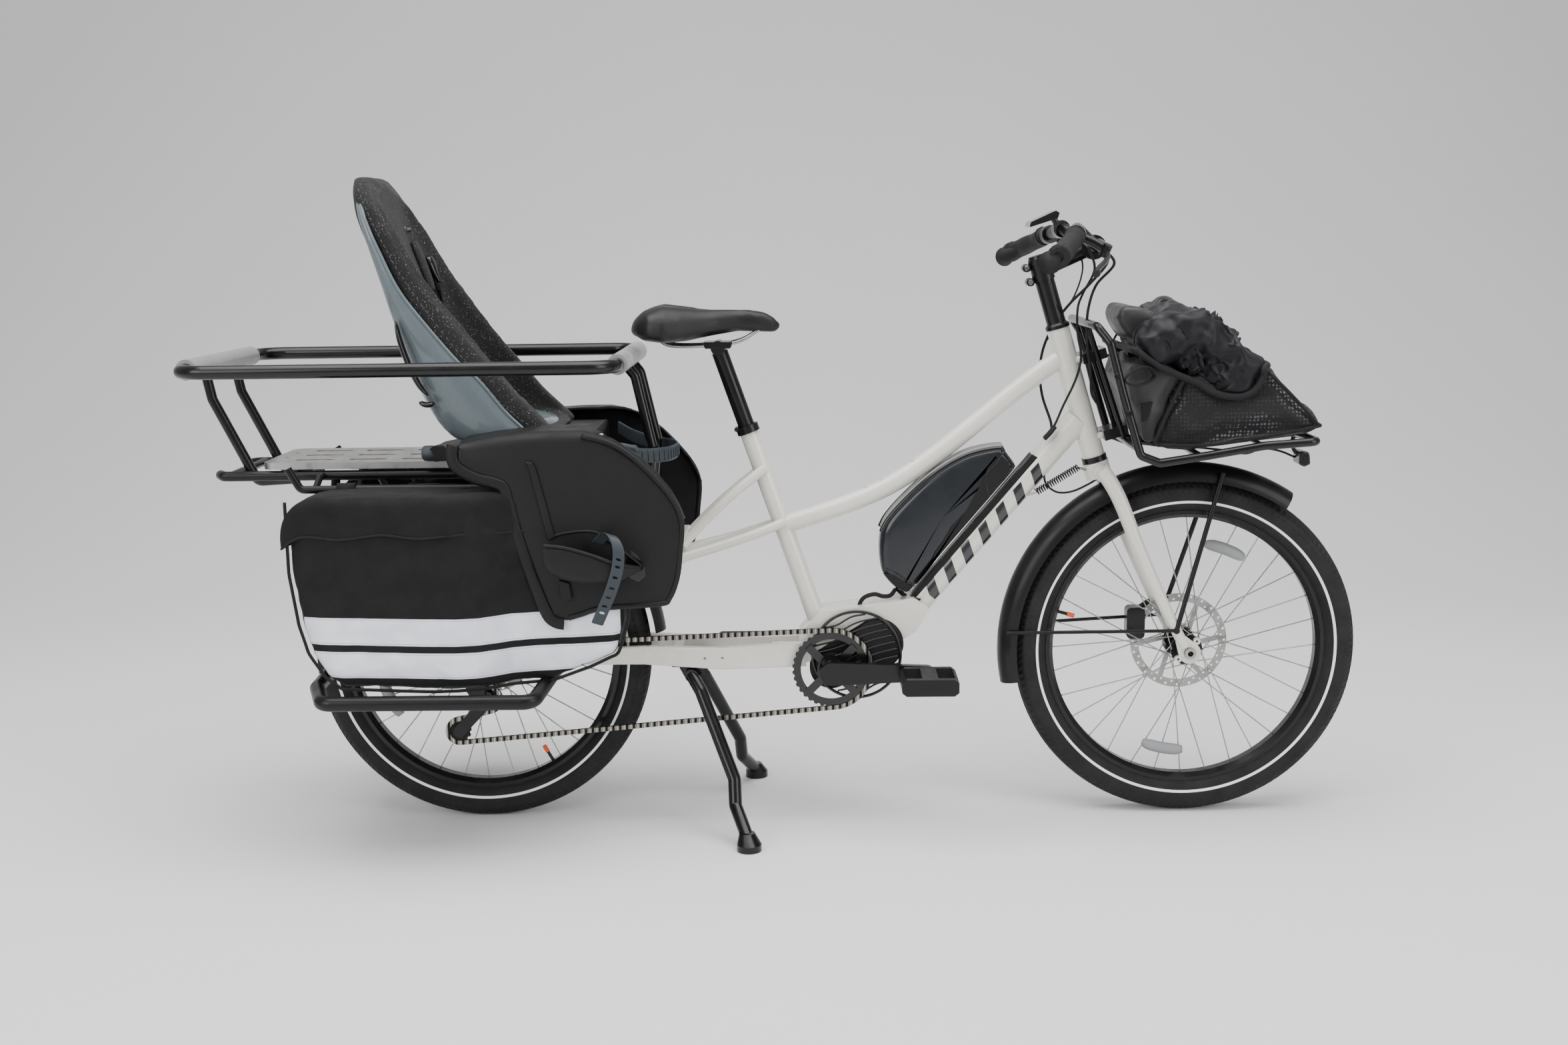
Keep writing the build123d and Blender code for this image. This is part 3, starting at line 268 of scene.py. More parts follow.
def frame_material():
    """Cream paint with plain dark slanted bars along both sides of the down tube."""
    look = Look("frame_paint", 0.26, coat=0.6).colour(WHITE, 0.035, 5, wear=0.15,
                                                      worn=(0.45, 0.43, 0.39)).uneven(0.06)
    tree = look.tree
    start, end = Vector((0.214, 0, 0.388)), Vector((0.532, 0, 0.7375))
    direction = (end - start).normalized()
    along = math_node(tree, "ADD",
                      math_node(tree, "MULTIPLY", math_node(tree, "SUBTRACT", look.x, start.x), direction.x),
                      math_node(tree, "MULTIPLY", math_node(tree, "SUBTRACT", look.z, start.z), direction.z))
    beside = math_node(tree, "SUBTRACT",
                       math_node(tree, "MULTIPLY", math_node(tree, "SUBTRACT", look.x, 0.232), direction.z),
                       math_node(tree, "MULTIPLY", math_node(tree, "SUBTRACT", look.z, 0.388), direction.x))
    slanted = math_node(tree, "ADD", along, math_node(tree, "MULTIPLY", beside, 0.55))
    wave = math_node(tree, "FRACT", math_node(tree, "MULTIPLY", slanted, 1 / 0.047))
    bars = band(tree, wave, 0.18, 0.62, 0.02)
    bars = math_node(tree, "MULTIPLY", bars, band(tree, along, 0.055, 0.372, 0.001))
    bars = math_node(tree, "MULTIPLY", bars, band(tree, beside, -0.016, 0.0155, 0.0008))
    below = band(tree, beside, -0.03, 0.03, 0.001)
    look.over(math_node(tree, "MULTIPLY", bars, below), (0.012, 0.012, 0.014))
    return look.relief(look.speckle(700), 0.04, 0.0003).material


def deck_material():
    """Brushed metal sheet, with the lines of its rolling along the bicycle."""
    look = Look("deck_sheet", 0.35, metal=0.9).colour((0.42, 0.41, 0.40), 0.15, 6).uneven(0.1, 50)
    stripes = look.speckle(60, 3, (0.6, 9, 1))
    look.over(math_node(look.tree, "MULTIPLY", stripes, 0.35), (0.22, 0.21, 0.2))
    return look.relief(stripes, 0.15, 0.0005).material


def bag_material(side):
    """Black cloth with two pale reflective bands, each stitched along both edges; the bands carry patches of painted
    crease shade and highlight.
    """
    look = Look("bag_face", 0.7, sheen=0.04, shine=0.2).colour((0.0075, 0.007, 0.0075), 0.22, 14).uneven(0.1)
    tree = look.tree
    drift = math_node(tree, "MULTIPLY", math_node(tree, "SINE", math_node(tree, "MULTIPLY", look.x, 9.0)),
                      0.003)
    height = math_node(tree, "ADD", look.z, drift)
    facing = shader(tree, "SeparateXYZ", {0: shader(tree, "TexCoord").outputs["Normal"]}).outputs[1]
    facing = math_node(tree, "MULTIPLY", facing, float(side))
    outer = shader(tree, "MapRange", {0: facing, 1: 0.55, 2: 0.6, 3: 0.0, 4: 1.0}).outputs[0]
    in_face = math_node(tree, "MULTIPLY", outer, band(tree, look.x, -0.817, -0.286, 0.001))
    bands = math_node(tree, "MAXIMUM", band(tree, height, 0.397, 0.443, 0.0008),
                      band(tree, height, 0.339, 0.384, 0.0008))
    pale = math_node(tree, "MULTIPLY", bands, in_face)
    # painted shade and highlight: the pale bands go darker and lighter in noise patches, standing for light on creases
    crease = mix_colour(tree, look.speckle(22, 2), (0.62, 0.65, 0.74), (0.93, 0.95, 1.0))
    look.over(pale, crease)
    dashes = band(tree, math_node(tree, "FRACT", math_node(tree, "MULTIPLY", look.x, 280.0)), 0.2, 0.75, 0.05)
    for level in (0.3995, 0.4405, 0.3415, 0.3815):
        line = math_node(tree, "MULTIPLY", band(tree, height, level - 0.0005, level + 0.0005, 0.0004), dashes)
        look.over(math_node(tree, "MULTIPLY", line, in_face), (0.36, 0.38, 0.45))
    look.weave(0.0012, 0.3)
    return look.relief(look.speckle(35, 3), 0.5, 0.002).material


def mesh_cloth_material():
    """Open net: round holes in staggered rows through black cloth."""
    look = Look("net_cloth", 0.6, sheen=0.05, shine=0.25).colour((0.007, 0.007, 0.0075), 0.2, 20)
    tree = look.tree
    cells = shader(tree, "TexVoronoi",
                   {"Vector": look.place, "Scale": 150.0, "Randomness": 0.25}).outputs["Distance"]
    hole = shader(tree, "MapRange", {0: cells, 1: 0.30, 2: 0.36, 3: 1.0, 4: 0.0}).outputs[0]
    patches = shader(tree, "MapRange", {0: look.speckle(10, 1), 1: 0.46, 2: 0.6, 3: 0.05, 4: 0.55}).outputs[0]
    look.over(math_node(tree, "MULTIPLY", hole, patches), (0.20, 0.21, 0.23))
    return look.relief(cells, 0.6, 0.001).material


assignments = {
    m_paint: ("fork",),
    m_black_paint: ("guard_rails", "rail_posts", "front_rack", "stand_legs", "stand_bracket"),
    m_satin: ("rear_rack", "running_boards", "front_fender", "rear_fender", "fender_stays"),
    m_alloy: ("headset_cups", "seat_clamp", "stem", "handlebar", "lever_bodies", "brake_lever_right",
              "brake_lever_left", "seatpost", "crank_arms", "front_rim", "rear_rim", "front_hub", "rear_hub",
              "front_caliper", "rear_caliper", "derailleur"),
    m_plastic: ("battery_cradle", "drive_unit", "pedal_right", "pedal_left", "guide_pulley", "tension_pulley",
                "footrest_right", "footrest_left", "child_seat_lock", "child_seat_base"),
    m_gloss: ("display", "chainring"),
    m_sleeve: ("rail_sleeves",),
    m_rubber: ("grips",),
    m_steel: ("front_spokes", "rear_spokes", "front_axle", "rear_axle", "cassette"),
    m_rotor: ("front_rotor", "rear_rotor"),
    m_chain: ("chain",),
    m_slate: ("battery",),
    m_shell: ("child_seat_shell",),
    m_foam: ("child_seat_cushion",),
    m_saddle: ("saddle",),
    m_cloth: ("bag_right", "bag_left", "front_bag"),
    frame_material(): ("main_frame",),
    deck_material(): ("deck",),
    tyre_material("front_tyre_rubber", front_axle): ("front_tyre",),
    tyre_material("rear_tyre_rubber", rear_axle): ("rear_tyre",),
}
for material, names in assignments.items():
    for name in names:
        mesh = nodes[name].data
        mesh.materials.clear()
        mesh.materials.append(material)


# ---- mesh tools -------------------------------------------------------------------------
def piece(name, points, faces, material, body, smooth=True, thick=0.0, bevel=0.0, levels=0, offset=0.0):
    """Makes a mesh object that rides on a body."""
    mesh = bpy.data.meshes.new(name)
    mesh.from_pydata([tuple(p) for p in points], [], faces)
    mesh.validate()
    helper = bmesh.new()
    helper.from_mesh(mesh)
    bmesh.ops.remove_doubles(helper, verts=helper.verts, dist=1e-6)
    bmesh.ops.recalc_face_normals(helper, faces=helper.faces)
    helper.to_mesh(mesh)
    helper.free()
    obj = bpy.data.objects.new(name, mesh)
    bpy.context.scene.collection.objects.link(obj)
    mesh.materials.append(material)
    if smooth:
        for polygon in mesh.polygons:
            polygon.use_smooth = True
    if thick:
        modifier = obj.modifiers.new("thickness", "SOLIDIFY")
        modifier.thickness = thick
        modifier.offset = offset
    if bevel:
        modifier = obj.modifiers.new("edges", "BEVEL")
        modifier.width = bevel
        modifier.segments = 3
        modifier.limit_method = "ANGLE"
        modifier.angle_limit = math.radians(40)
    if levels:
        modifier = obj.modifiers.new("round", "SUBSURF")
        modifier.levels = levels
        modifier.render_levels = levels
    if body:
        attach(obj, body)
    return obj


def smooth_path(points, steps=8, closed=False):
    """A smooth curve through the points."""
    points = [Vector(p) for p in points]
    count = len(points)
    result = []
    last = count if closed else count - 1
    for i in range(last):
        if closed:
            p0, p1, p2, p3 = (points[(i + k) % count] for k in (-1, 0, 1, 2))
        else:
            p1, p2 = points[i], points[i + 1]
            p0 = points[i - 1] if i else p1 * 2 - p2
            p3 = points[i + 2] if i + 2 < count else p2 * 2 - p1
        for step in range(steps):
            t = step / steps
            result.append(0.5 * ((2 * p1) + (p2 - p0) * t + (2 * p0 - 5 * p1 + 4 * p2 - p3) * t * t
                                 + (3 * p1 - p0 - 3 * p2 + p3) * t ** 3))
    if not closed:
        result.append(points[-1])
    return result


def at(curve, t):
    """The point a share t along a list of points."""
    place = max(0.0, min(1.0, t)) * (len(curve) - 1)
    index = min(int(place), len(curve) - 2)
    return curve[index].lerp(curve[index + 1], place - index)


def even(points, count, closed=True):
    """The same line with evenly spaced points."""
    points = [Vector(p) for p in points]
    if closed:
        points = points + [points[0]]
    lengths = [0.0]
    for a, b in zip(points, points[1:]):
        lengths.append(lengths[-1] + (b - a).length)
    result, index = [], 0
    total = count if closed else count - 1
    for i in range(count):
        target = lengths[-1] * i / total
        while index < len(points) - 2 and lengths[index + 1] < target:
            index += 1
        span = lengths[index + 1] - lengths[index]
        result.append(points[index].lerp(points[index + 1], (target - lengths[index]) / span if span else 0))
    return result


def loft_faces(rows, count, closed=True, caps=False):
    faces = []
    for row in range(rows - 1):
        for i in range(count if closed else count - 1):
            j = (i + 1) % count
            faces.append((row * count + i, row * count + j, (row + 1) * count + j, (row + 1) * count + i))
    if caps:
        faces.append(tuple(reversed(range(count))))
        faces.append(tuple(range((rows - 1) * count, rows * count)))
    return faces


def loft(name, rings, material, body, closed=True, caps=False, **options):
    points = [p for ring in rings for p in ring]
    return piece(name, points, loft_faces(len(rings), len(rings[0]), closed, caps), material, body, **options)


def pipe(name, points, radius, material, body, steps=8, sides=12, closed=False, flat=1.0, curve=True):
    """A round (or flattened) tube along a curve, as a mesh."""
    path = smooth_path(points, steps, closed) if curve else [Vector(p) for p in points]
    radii = radius if callable(radius) else (lambda t: radius)
    rings = []
    normal = None
    count = len(path)
    for i, point in enumerate(path):
        ahead = path[(i + 1) % count] if (closed or i + 1 < count) else point
        behind = path[i - 1] if (closed or i) else point
        tangent = (ahead - behind).normalized()
        if normal is None:
            normal = tangent.orthogonal().normalized()
            if abs(tangent.y) < 0.9:
                normal = (Vector((0, 1, 0)) - tangent * tangent.y).normalized()
        normal = (normal - tangent * normal.dot(tangent)).normalized()
        side = tangent.cross(normal)
        size = radii(i / max(1, count - 1))
        rings.append([point + normal * math.cos(a) * size + side * math.sin(a) * size * flat
                      for a in (2 * math.pi * k / sides for k in range(sides))])
    if closed:
        rings.append(rings[0])
    return loft(name, rings, material, body, caps=not closed)


def prism(name, outline, y_from, y_to, material, body, bevel=0.002, **options):
    """A flat side-view outline (x, z) given thickness, with rounded edges."""
    count = len(outline)
    points = [(x, y_from, z) for x, z in outline] + [(x, y_to, z) for x, z in outline]
    return piece(name, points, loft_faces(2, count, True, True), material, body, smooth=False, bevel=bevel,
                 **options)


def bolt(name, centre, axis, radius, height, material, body):
    """A socket-headed bolt: domed rim and a twelve-sided recess."""
    axis = Vector(axis).normalized()
    side = axis.orthogonal().normalized()
    other = axis.cross(side)
    centre = Vector(centre)

    def ring(size, level, corners=12):
        return [centre + axis * level + (side * math.cos(a) + other * math.sin(a)) * size
                for a in (2 * math.pi * k / corners for k in range(corners))]
    rings = [ring(radius, 0), ring(radius, height * 0.75), ring(radius * 0.85, height),
             ring(radius * 0.5, height),
             ring(radius * 0.48, height * 0.4), ring(0.0001, height * 0.4)]
    return loft(name, rings, material, body, smooth=False)


def simulate(obj, cap, pressure=4.0, frames=20):
    """Puffs a closed fabric piece with cloth simulation and keeps the result."""
    bpy.context.view_layer.objects.active = obj
    rest = [v.co.copy() for v in obj.data.vertices]
    modifier = obj.modifiers.new("cloth", "CLOTH")
    settings = modifier.settings
    settings.use_pressure = True
    settings.uniform_pressure_force = pressure
    settings.effector_weights.gravity = 0.0
    settings.quality = 4
    settings.mass = 0.3
    modifier.collision_settings.use_collision = False
    modifier.point_cache.frame_start = 1
    modifier.point_cache.frame_end = frames
    for number in range(1, frames + 1):
        bpy.context.scene.frame_set(number)
    graph = bpy.context.evaluated_depsgraph_get()
    moved = obj.evaluated_get(graph).to_mesh()
    places = [v.co.copy() for v in moved.vertices]
    obj.modifiers.remove(modifier)
    bpy.context.scene.frame_set(1)
    for vertex, start, end in zip(obj.data.vertices, rest, places):
        shift = end - start
        if shift.length > cap:
            shift = shift.normalized() * cap
        vertex.co = start + shift
    return obj


def remesh(obj, size):
    """Gives a closed piece one even skin, ready for cloth."""
    modifier = obj.modifiers.new("remesh", "REMESH")
    modifier.mode = "VOXEL"
    modifier.voxel_size = size
    graph = bpy.context.evaluated_depsgraph_get()
    mesh = bpy.data.meshes.new_from_object(obj.evaluated_get(graph))
    obj.modifiers.clear()
    obj.data = mesh
    for polygon in mesh.polygons:
        polygon.use_smooth = True
    return obj


def shake(obj, amount, scale, ridged=False, keep=None):
    """Moves each point along its normal by smooth noise, to give cloth its folds."""
    for vertex in obj.data.vertices:
        value = noise.noise(vertex.co * scale) + 0.5 * noise.noise(vertex.co * scale * 2.1 + Vector((3, 1,
                                                                                                     7)))
        if ridged:
            value = 0.6 - 2.2 * abs(value)
        strength = keep(vertex.co) if keep else 1.0
        vertex.co += vertex.normal * value * amount * strength
    return obj


def soften(obj, levels=1):
    modifier = obj.modifiers.new("round", "SUBSURF")
    modifier.levels = levels
    modifier.render_levels = levels
    return obj


def interpolate(table, x):
    """Straight-line value between (place, value) pairs."""
    if x <= table[0][0]:
        return table[0][1]
    for (a, va), (b, vb) in zip(table, table[1:]):
        if x <= b:
            return va + (vb - va) * (x - a) / (b - a)
    return table[-1][1]


def grid_faces(rows, columns):
    return loft_faces(rows, columns, closed=False)


def inset_outline(points, amount):
    """Moves a closed side-view outline inwards by an even amount."""
    count = len(points)
    area = sum(points[i].x * points[(i + 1) % count].z - points[(i + 1) % count].x * points[i].z for i in range(count))
    turn = 1 if area > 0 else -1
    result = []
    for i in range(count):
        along = (points[(i + 1) % count] - points[i - 1]).normalized()
        result.append(points[i] + Vector((-along.z, 0, along.x)) * amount * turn)
    return result


# ---- luggage on the rear carrier --------------------------------------------------------
bag_inner = 0.125


def bag_outer(x):
    return interpolate([(-0.56, 0.284), (-0.52, 0.276), (-0.47, 0.243), (-0.43, 0.232), (-0.26, 0.224)], x)


bag_outline = [(-0.838, 0.642), (-0.838, 0.520), (-0.826, 0.430), (-0.812, 0.380), (-0.785, 0.338),
               (-0.757, 0.318),
               (-0.600, 0.312), (-0.406, 0.316), (-0.338, 0.340), (-0.290, 0.362), (-0.272, 0.420),
               (-0.266, 0.520),
               (-0.262, 0.642)]


def round_corner(obj):
    """Lets the rear top edge of a bag slump."""
    for vertex in obj.data.vertices:
        past = (-0.800 - vertex.co.x) / 0.045
        if past > 0 and vertex.co.z > 0.5:
            vertex.co.z -= 0.030 * past * past * (vertex.co.z - 0.5) / 0.14


def rear_bag(side, node):
    tag = "right" if side < 0 else "left"
    body = prism("bag_body_" + tag, bag_outline, *sorted((side * bag_inner, side * 0.284)), m_cloth, None,
                 bevel=0.012)
    remesh(body, 0.006)
    for vertex in body.data.vertices:
        share = (abs(vertex.co.y) - bag_inner) / (0.284 - bag_inner)
        vertex.co.y = side * (bag_inner + share * (bag_outer(vertex.co.x) - bag_inner))
    simulate(body, 0.005)
    round_corner(body)
    shake(body, 0.0035, 9.0)
    shake(body, 0.0012, 30.0, ridged=True)
    body.data.materials.clear()
    body.data.materials.append(bag_material(side))
    soften(body)
    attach(body, "frame")
    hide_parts(node)

    plan = [(-0.844, 0.122), (-0.846, 0.200), (-0.844, 0.287), (-0.700, 0.291), (-0.560, 0.291),
            (-0.500, 0.264),
            (-0.450, 0.240), (-0.350, 0.233), (-0.256, 0.229), (-0.252, 0.180), (-0.254, 0.122),
            (-0.400, 0.119),
            (-0.600, 0.119), (-0.750, 0.119)]
    loop = even([(x, y, 0) for x, y in plan], 220)
    middle = Vector((-0.55, 0.18, 0))
    rings = []
    for inset, level in ((0.02, 0.647), (0.3, 0.649), (0.55, 0.6485), (0.75, 0.650), (0.9, 0.649),
                         (0.97, 0.647),
                         (0.995, 0.642), (1.005, 0.634), (1.008, 0.622), (1.01, 0.610), (1.012, 0.600),
                         (1.010, 0.592), (1.012, 0.584)):
        ring = []
        for point in loop:
            place = middle + (point - middle) * inset
            if inset > 0.9 and point.y > 0.2:
                place.y = point.y + (inset - 1) * 0.2
            drop = 1.0 if point.y > 0.2 else max(0.0, (point.y - 0.13) / 0.07)
            fall = (0.642 - level) * drop if level < 0.642 else 0.642 - level
            hem = 0.006 * noise.noise(Vector((place.x * 14, side, 0))) * max(0.0, 0.642 - level) / 0.058
            sway = 0.0035 * noise.noise(Vector((place.x * 20, side * 3,
                                                level * 9))) * (1 if level < 0.63 else 0.2)
            ring.append((place.x, side * (place.y + sway), 0.642 - fall + hem))
        rings.append(ring)
    flap = loft("bag_flap_" + tag, rings, m_cloth, None)
    round_corner(flap)
    shake(flap, 0.0030, 16.0)
    shake(flap, 0.0010, 55.0, ridged=True)
    modifier = flap.modifiers.new("thickness", "SOLIDIFY")
    modifier.thickness = 0.0022
    modifier.offset = 0
    soften(flap)
    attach(flap, "frame")
    hem_line = [v.co.copy() for v in flap.data.vertices][-len(loop):]
    pipe("bag_hem_" + tag, [p for p in hem_line[::3]], 0.0022, m_web, "frame", steps=3, sides=8, closed=True)
    edge = even([(x, 0, z) for x, z in bag_outline], 90, closed=False)
    welt = [(p.x, side * (bag_outer(p.x) - 0.001 + 0.002 * noise.noise(p * 12)), p.z + 0.0015) for p in edge]
    pipe("bag_welt_" + tag, welt, 0.003, m_web, "frame", steps=3, sides=8)
    for x in (-0.765, -0.385):
        ring = [(x, side * (0.160 + 0.0115 * math.cos(a)), 0.645 + 0.0125 * math.sin(a))
                for a in (2 * math.pi * k / 12 for k in range(12))]
        strip = [[Vector(p) + Vector((dx, 0, 0)) for p in ring] for dx in (-0.016, 0.016)]
        loft("bag_loop_%s_%d" % (tag, abs(x) * 1000), strip, m_web, "frame", thick=0.002)
        bolt("bag_snap_%s_%d" % (tag, abs(x) * 1000), (x, side * 0.172, 0.645), (0, side, 0), 0.006, 0.002,
             m_alloy,
             "frame")


rear_bag(-1, "bag_right")
rear_bag(1, "bag_left")


# ---- child seat -------------------------------------------------------------------------
def curve_of(points):
    return smooth_path([(x, 0, z) for x, z in points], 6)


shell_back = curve_of([(-0.742, 1.160), (-0.729, 1.110), (-0.714, 1.055), (-0.701, 1.005), (-0.690, 0.955),
                       (-0.667, 0.872), (-0.642, 0.800), (-0.607, 0.742), (-0.560, 0.718), (-0.440, 0.712)])
shell_edge = curve_of([(-0.730, 1.161), (-0.712, 1.110), (-0.690, 1.058), (-0.662, 0.997), (-0.630, 0.950),
                       (-0.565, 0.870), (-0.525, 0.832), (-0.484, 0.780), (-0.452, 0.748), (-0.425, 0.722)])
foam_back = curve_of([(-0.752, 1.188), (-0.741, 1.120), (-0.722, 1.060), (-0.704, 1.005), (-0.690, 0.955),
                      (-0.665, 0.872), (-0.640, 0.802), (-0.603, 0.745), (-0.540, 0.722), (-0.412, 0.716)])
foam_edge = curve_of([(-0.722, 1.192), (-0.693, 1.138), (-0.668, 1.088), (-0.640, 1.036), (-0.604, 0.982),
                      (-0.556, 0.922), (-0.510, 0.866), (-0.463, 0.810), (-0.432, 0.778), (-0.394, 0.742)])
seat_width = [(0.0, 0.088), (0.02, 0.110), (0.05, 0.126), (0.10, 0.140), (0.18, 0.148), (0.3, 0.151),
              (1.0, 0.151)]


def seat_point(lines, t, s, inset, past=0.0):
    """A point of the tub: t runs from the top to the front lip and s from rim to rim."""
    back, rim = at(lines[0], t), at(lines[1], t)
    inward = (rim - back).normalized()
    angle = abs(s) * math.pi / 2
    wide = (interpolate(seat_width, t) - inset) * math.sin(angle) ** 0.55
    deep = 1 - math.cos(angle) ** 0.55
    start = back + inward * inset
    point = start.lerp(rim + inward * past, deep)
    return Vector((point.x, math.copysign(wide, s), point.z))


def tub_grid(lines, rows, columns, inset, past):
    return [[seat_point(lines, r / (rows - 1), 2 * c / (columns - 1) - 1, inset, past)
             for c in range(columns)] for r in range(rows)]


shell_lines, foam_lines = (shell_back, shell_edge), (foam_back, foam_edge)
shell = loft("seat_tub", tub_grid(shell_lines, 90, 61, 0.0, 0.0), m_shell, "frame", closed=False, thick=0.004,
             offset=0)
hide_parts("child_seat_shell")
for side in (-1, 1):
    line = [seat_point(shell_lines, r / 40, side, -0.001) for r in range(41)]
    pipe("tub_edge_%d" % (side + 1), line, 0.0028, m_shell, "frame", steps=3, sides=8)

outer_rows = tub_grid(foam_lines, 80, 45, 0.003, 0.0)
inner_rows = tub_grid(foam_lines, 80, 45, 0.036, 0.0)
sheet = [p for row in outer_rows for p in row] + [p for row in inner_rows for p in row]
shift = 80 * 45
faces = grid_faces(80, 45)
faces += [tuple(shift + i for i in reversed(face)) for face in grid_faces(80, 45)]
border = [c for c in range(45)] + [r * 45 + 44 for r in range(1, 80)]
border += [79 * 45 + c for c in range(43, -1, -1)] + [r * 45 for r in range(78, 0, -1)]
for a, b in zip(border, border[1:] + border[:1]):
    faces.append((b, a, shift + a, shift + b))
liner = piece("seat_liner", sheet, faces, m_foam, None)
remesh(liner, 0.006)
simulate(liner, 0.006)
smoother = bmesh.new()
smoother.from_mesh(liner.data)
for turn in range(4):
    bmesh.ops.smooth_vert(smoother, verts=smoother.verts, factor=0.5, use_axis_x=True, use_axis_y=True,
                          use_axis_z=True)
smoother.to_mesh(liner.data)
smoother.free()
shake(liner, 0.0015, 12.0)
soften(liner)
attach(liner, "frame")
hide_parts("child_seat_cushion")
for side in (-1, 1):
    for k in range(46):
        t = 0.05 + 0.9 * k / 46
        ends = [seat_point(foam_lines, t + d, side * 0.985, -0.002, -0.014) for d in (0.0, 0.005, 0.010)]
        pipe("rim_stitch_%d_%d" % (side + 1, k), ends, 0.0007, m_grey, "frame", steps=1, sides=5)
    strap = [seat_point(foam_lines, t, side * 0.30, 0.038) for t in (0.20, 0.28, 0.38, 0.48, 0.58)]
    strap += [Vector((-0.560, side * 0.04, 0.800)), Vector((-0.515, side * 0.022, 0.785))]
    pipe("harness_strap_%d" % (side + 1), strap, 0.015, m_web, "frame", steps=6, sides=12, flat=0.14)
    pad = [seat_point(foam_lines, t, side * 0.30, 0.045) for t in (0.24, 0.30, 0.36, 0.42)]
    pipe("harness_pad_%d" % (side + 1), pad, lambda t: 0.022 - 0.006 * abs(2 * t - 1) ** 3, m_foam, "frame",
         steps=6,
         sides=14, flat=0.35)
    mouth = [seat_point(foam_lines, 0.19, side * w, 0.037) for w in (0.18, 0.24, 0.32, 0.40)]
    pipe("harness_mouth_%d" % (side + 1), mouth, 0.008, m_gloss, "frame", steps=5, sides=10)
    place = seat_point(foam_lines, 0.345, side * 0.62, 0.052)
    clip = [place + Vector(d) for d in ((-0.008, 0, 0.020), (-0.003, side * 0.002, 0.006), (0.004, 0, -0.010),
                                        (0.012, 0, -0.026))]
    pipe("harness_clip_%d" % (side + 1), clip, lambda t: 0.012 + 0.004 * math.sin(5 * t), m_gloss, "frame",
         steps=5, sides=10,
         flat=0.6)
    thin = [place + Vector((0.012, 0, -0.026)), seat_point(foam_lines, 0.46, side * 0.6, 0.042),
            seat_point(foam_lines, 0.55, side * 0.5, 0.040)]
    pipe("harness_tail_%d" % (side + 1), thin, 0.008, m_web, "frame", steps=6, sides=10, flat=0.15)
pipe("crotch_strap", [(-0.462, 0, 0.750), (-0.470, 0, 0.775), (-0.490, 0, 0.792), (-0.520, 0, 0.795)], 0.016,
     m_grey,
     "frame", sides=12, flat=0.2)
prism("harness_buckle", [(-0.552, 0.778), (-0.556, 0.794), (-0.546, 0.806), (-0.518, 0.806), (-0.508, 0.796),
                         (-0.512, 0.780)], -0.024, 0.024, m_gloss, "frame", bevel=0.005)
insert = []
for level, size in ((0.745, 1.0), (0.753, 1.0), (0.757, 0.93), (0.758, 0.6), (0.757, 0.02)):
    insert.append([(-0.462 + 0.048 * size * math.cos(a), 0.092 * size * math.sin(a),
                    level - 0.15 * 0.048 * size * math.cos(a))
                   for a in (2 * math.pi * k / 48 for k in range(48))])
loft("seat_pan_insert", insert, m_shell, "frame")
for side in (-1, 1):
    openings = (((-0.668, 0.938), (-0.662, 0.905), (-0.650, 0.866), (-0.633, 0.828), (-0.617, 0.808)),
                ((-0.634, 0.797), (-0.620, 0.792), (-0.606, 0.795)),
                ((-0.560, 0.726), (-0.535, 0.725), (-0.510, 0.726)))
    for number, line in enumerate(openings):
        path = [(x, side * (0.1475 if number < 2 else 0.105), z) for x, z in line]
        pipe("tub_opening_%d_%d" % (side + 1, number), path,
             lambda u: 0.010 * math.sqrt(max(0.02, 1 - abs(2 * u - 1) ** 3)), m_gloss, "frame", steps=6,
             sides=12, flat=0.5)


# ---- moulded base and side guards of the child seat -------------------------------------
guard_top = [(-0.549, 0.735), (-0.500, 0.744), (-0.450, 0.750), (-0.395, 0.753), (-0.342, 0.753),
             (-0.315, 0.748),
             (-0.290, 0.738), (-0.243, 0.706), (-0.215, 0.676), (-0.192, 0.648), (-0.178, 0.622),
             (-0.171, 0.602)]
guard_bottom = [(-0.549, 0.702), (-0.530, 0.688), (-0.500, 0.678), (-0.472, 0.668), (-0.458, 0.624),
                (-0.447, 0.578),
                (-0.425, 0.508), (-0.401, 0.446), (-0.390, 0.431), (-0.375, 0.427), (-0.348, 0.434),
                (-0.313, 0.444),
                (-0.216, 0.450), (-0.200, 0.458), (-0.187, 0.482), (-0.178, 0.526), (-0.171, 0.598)]


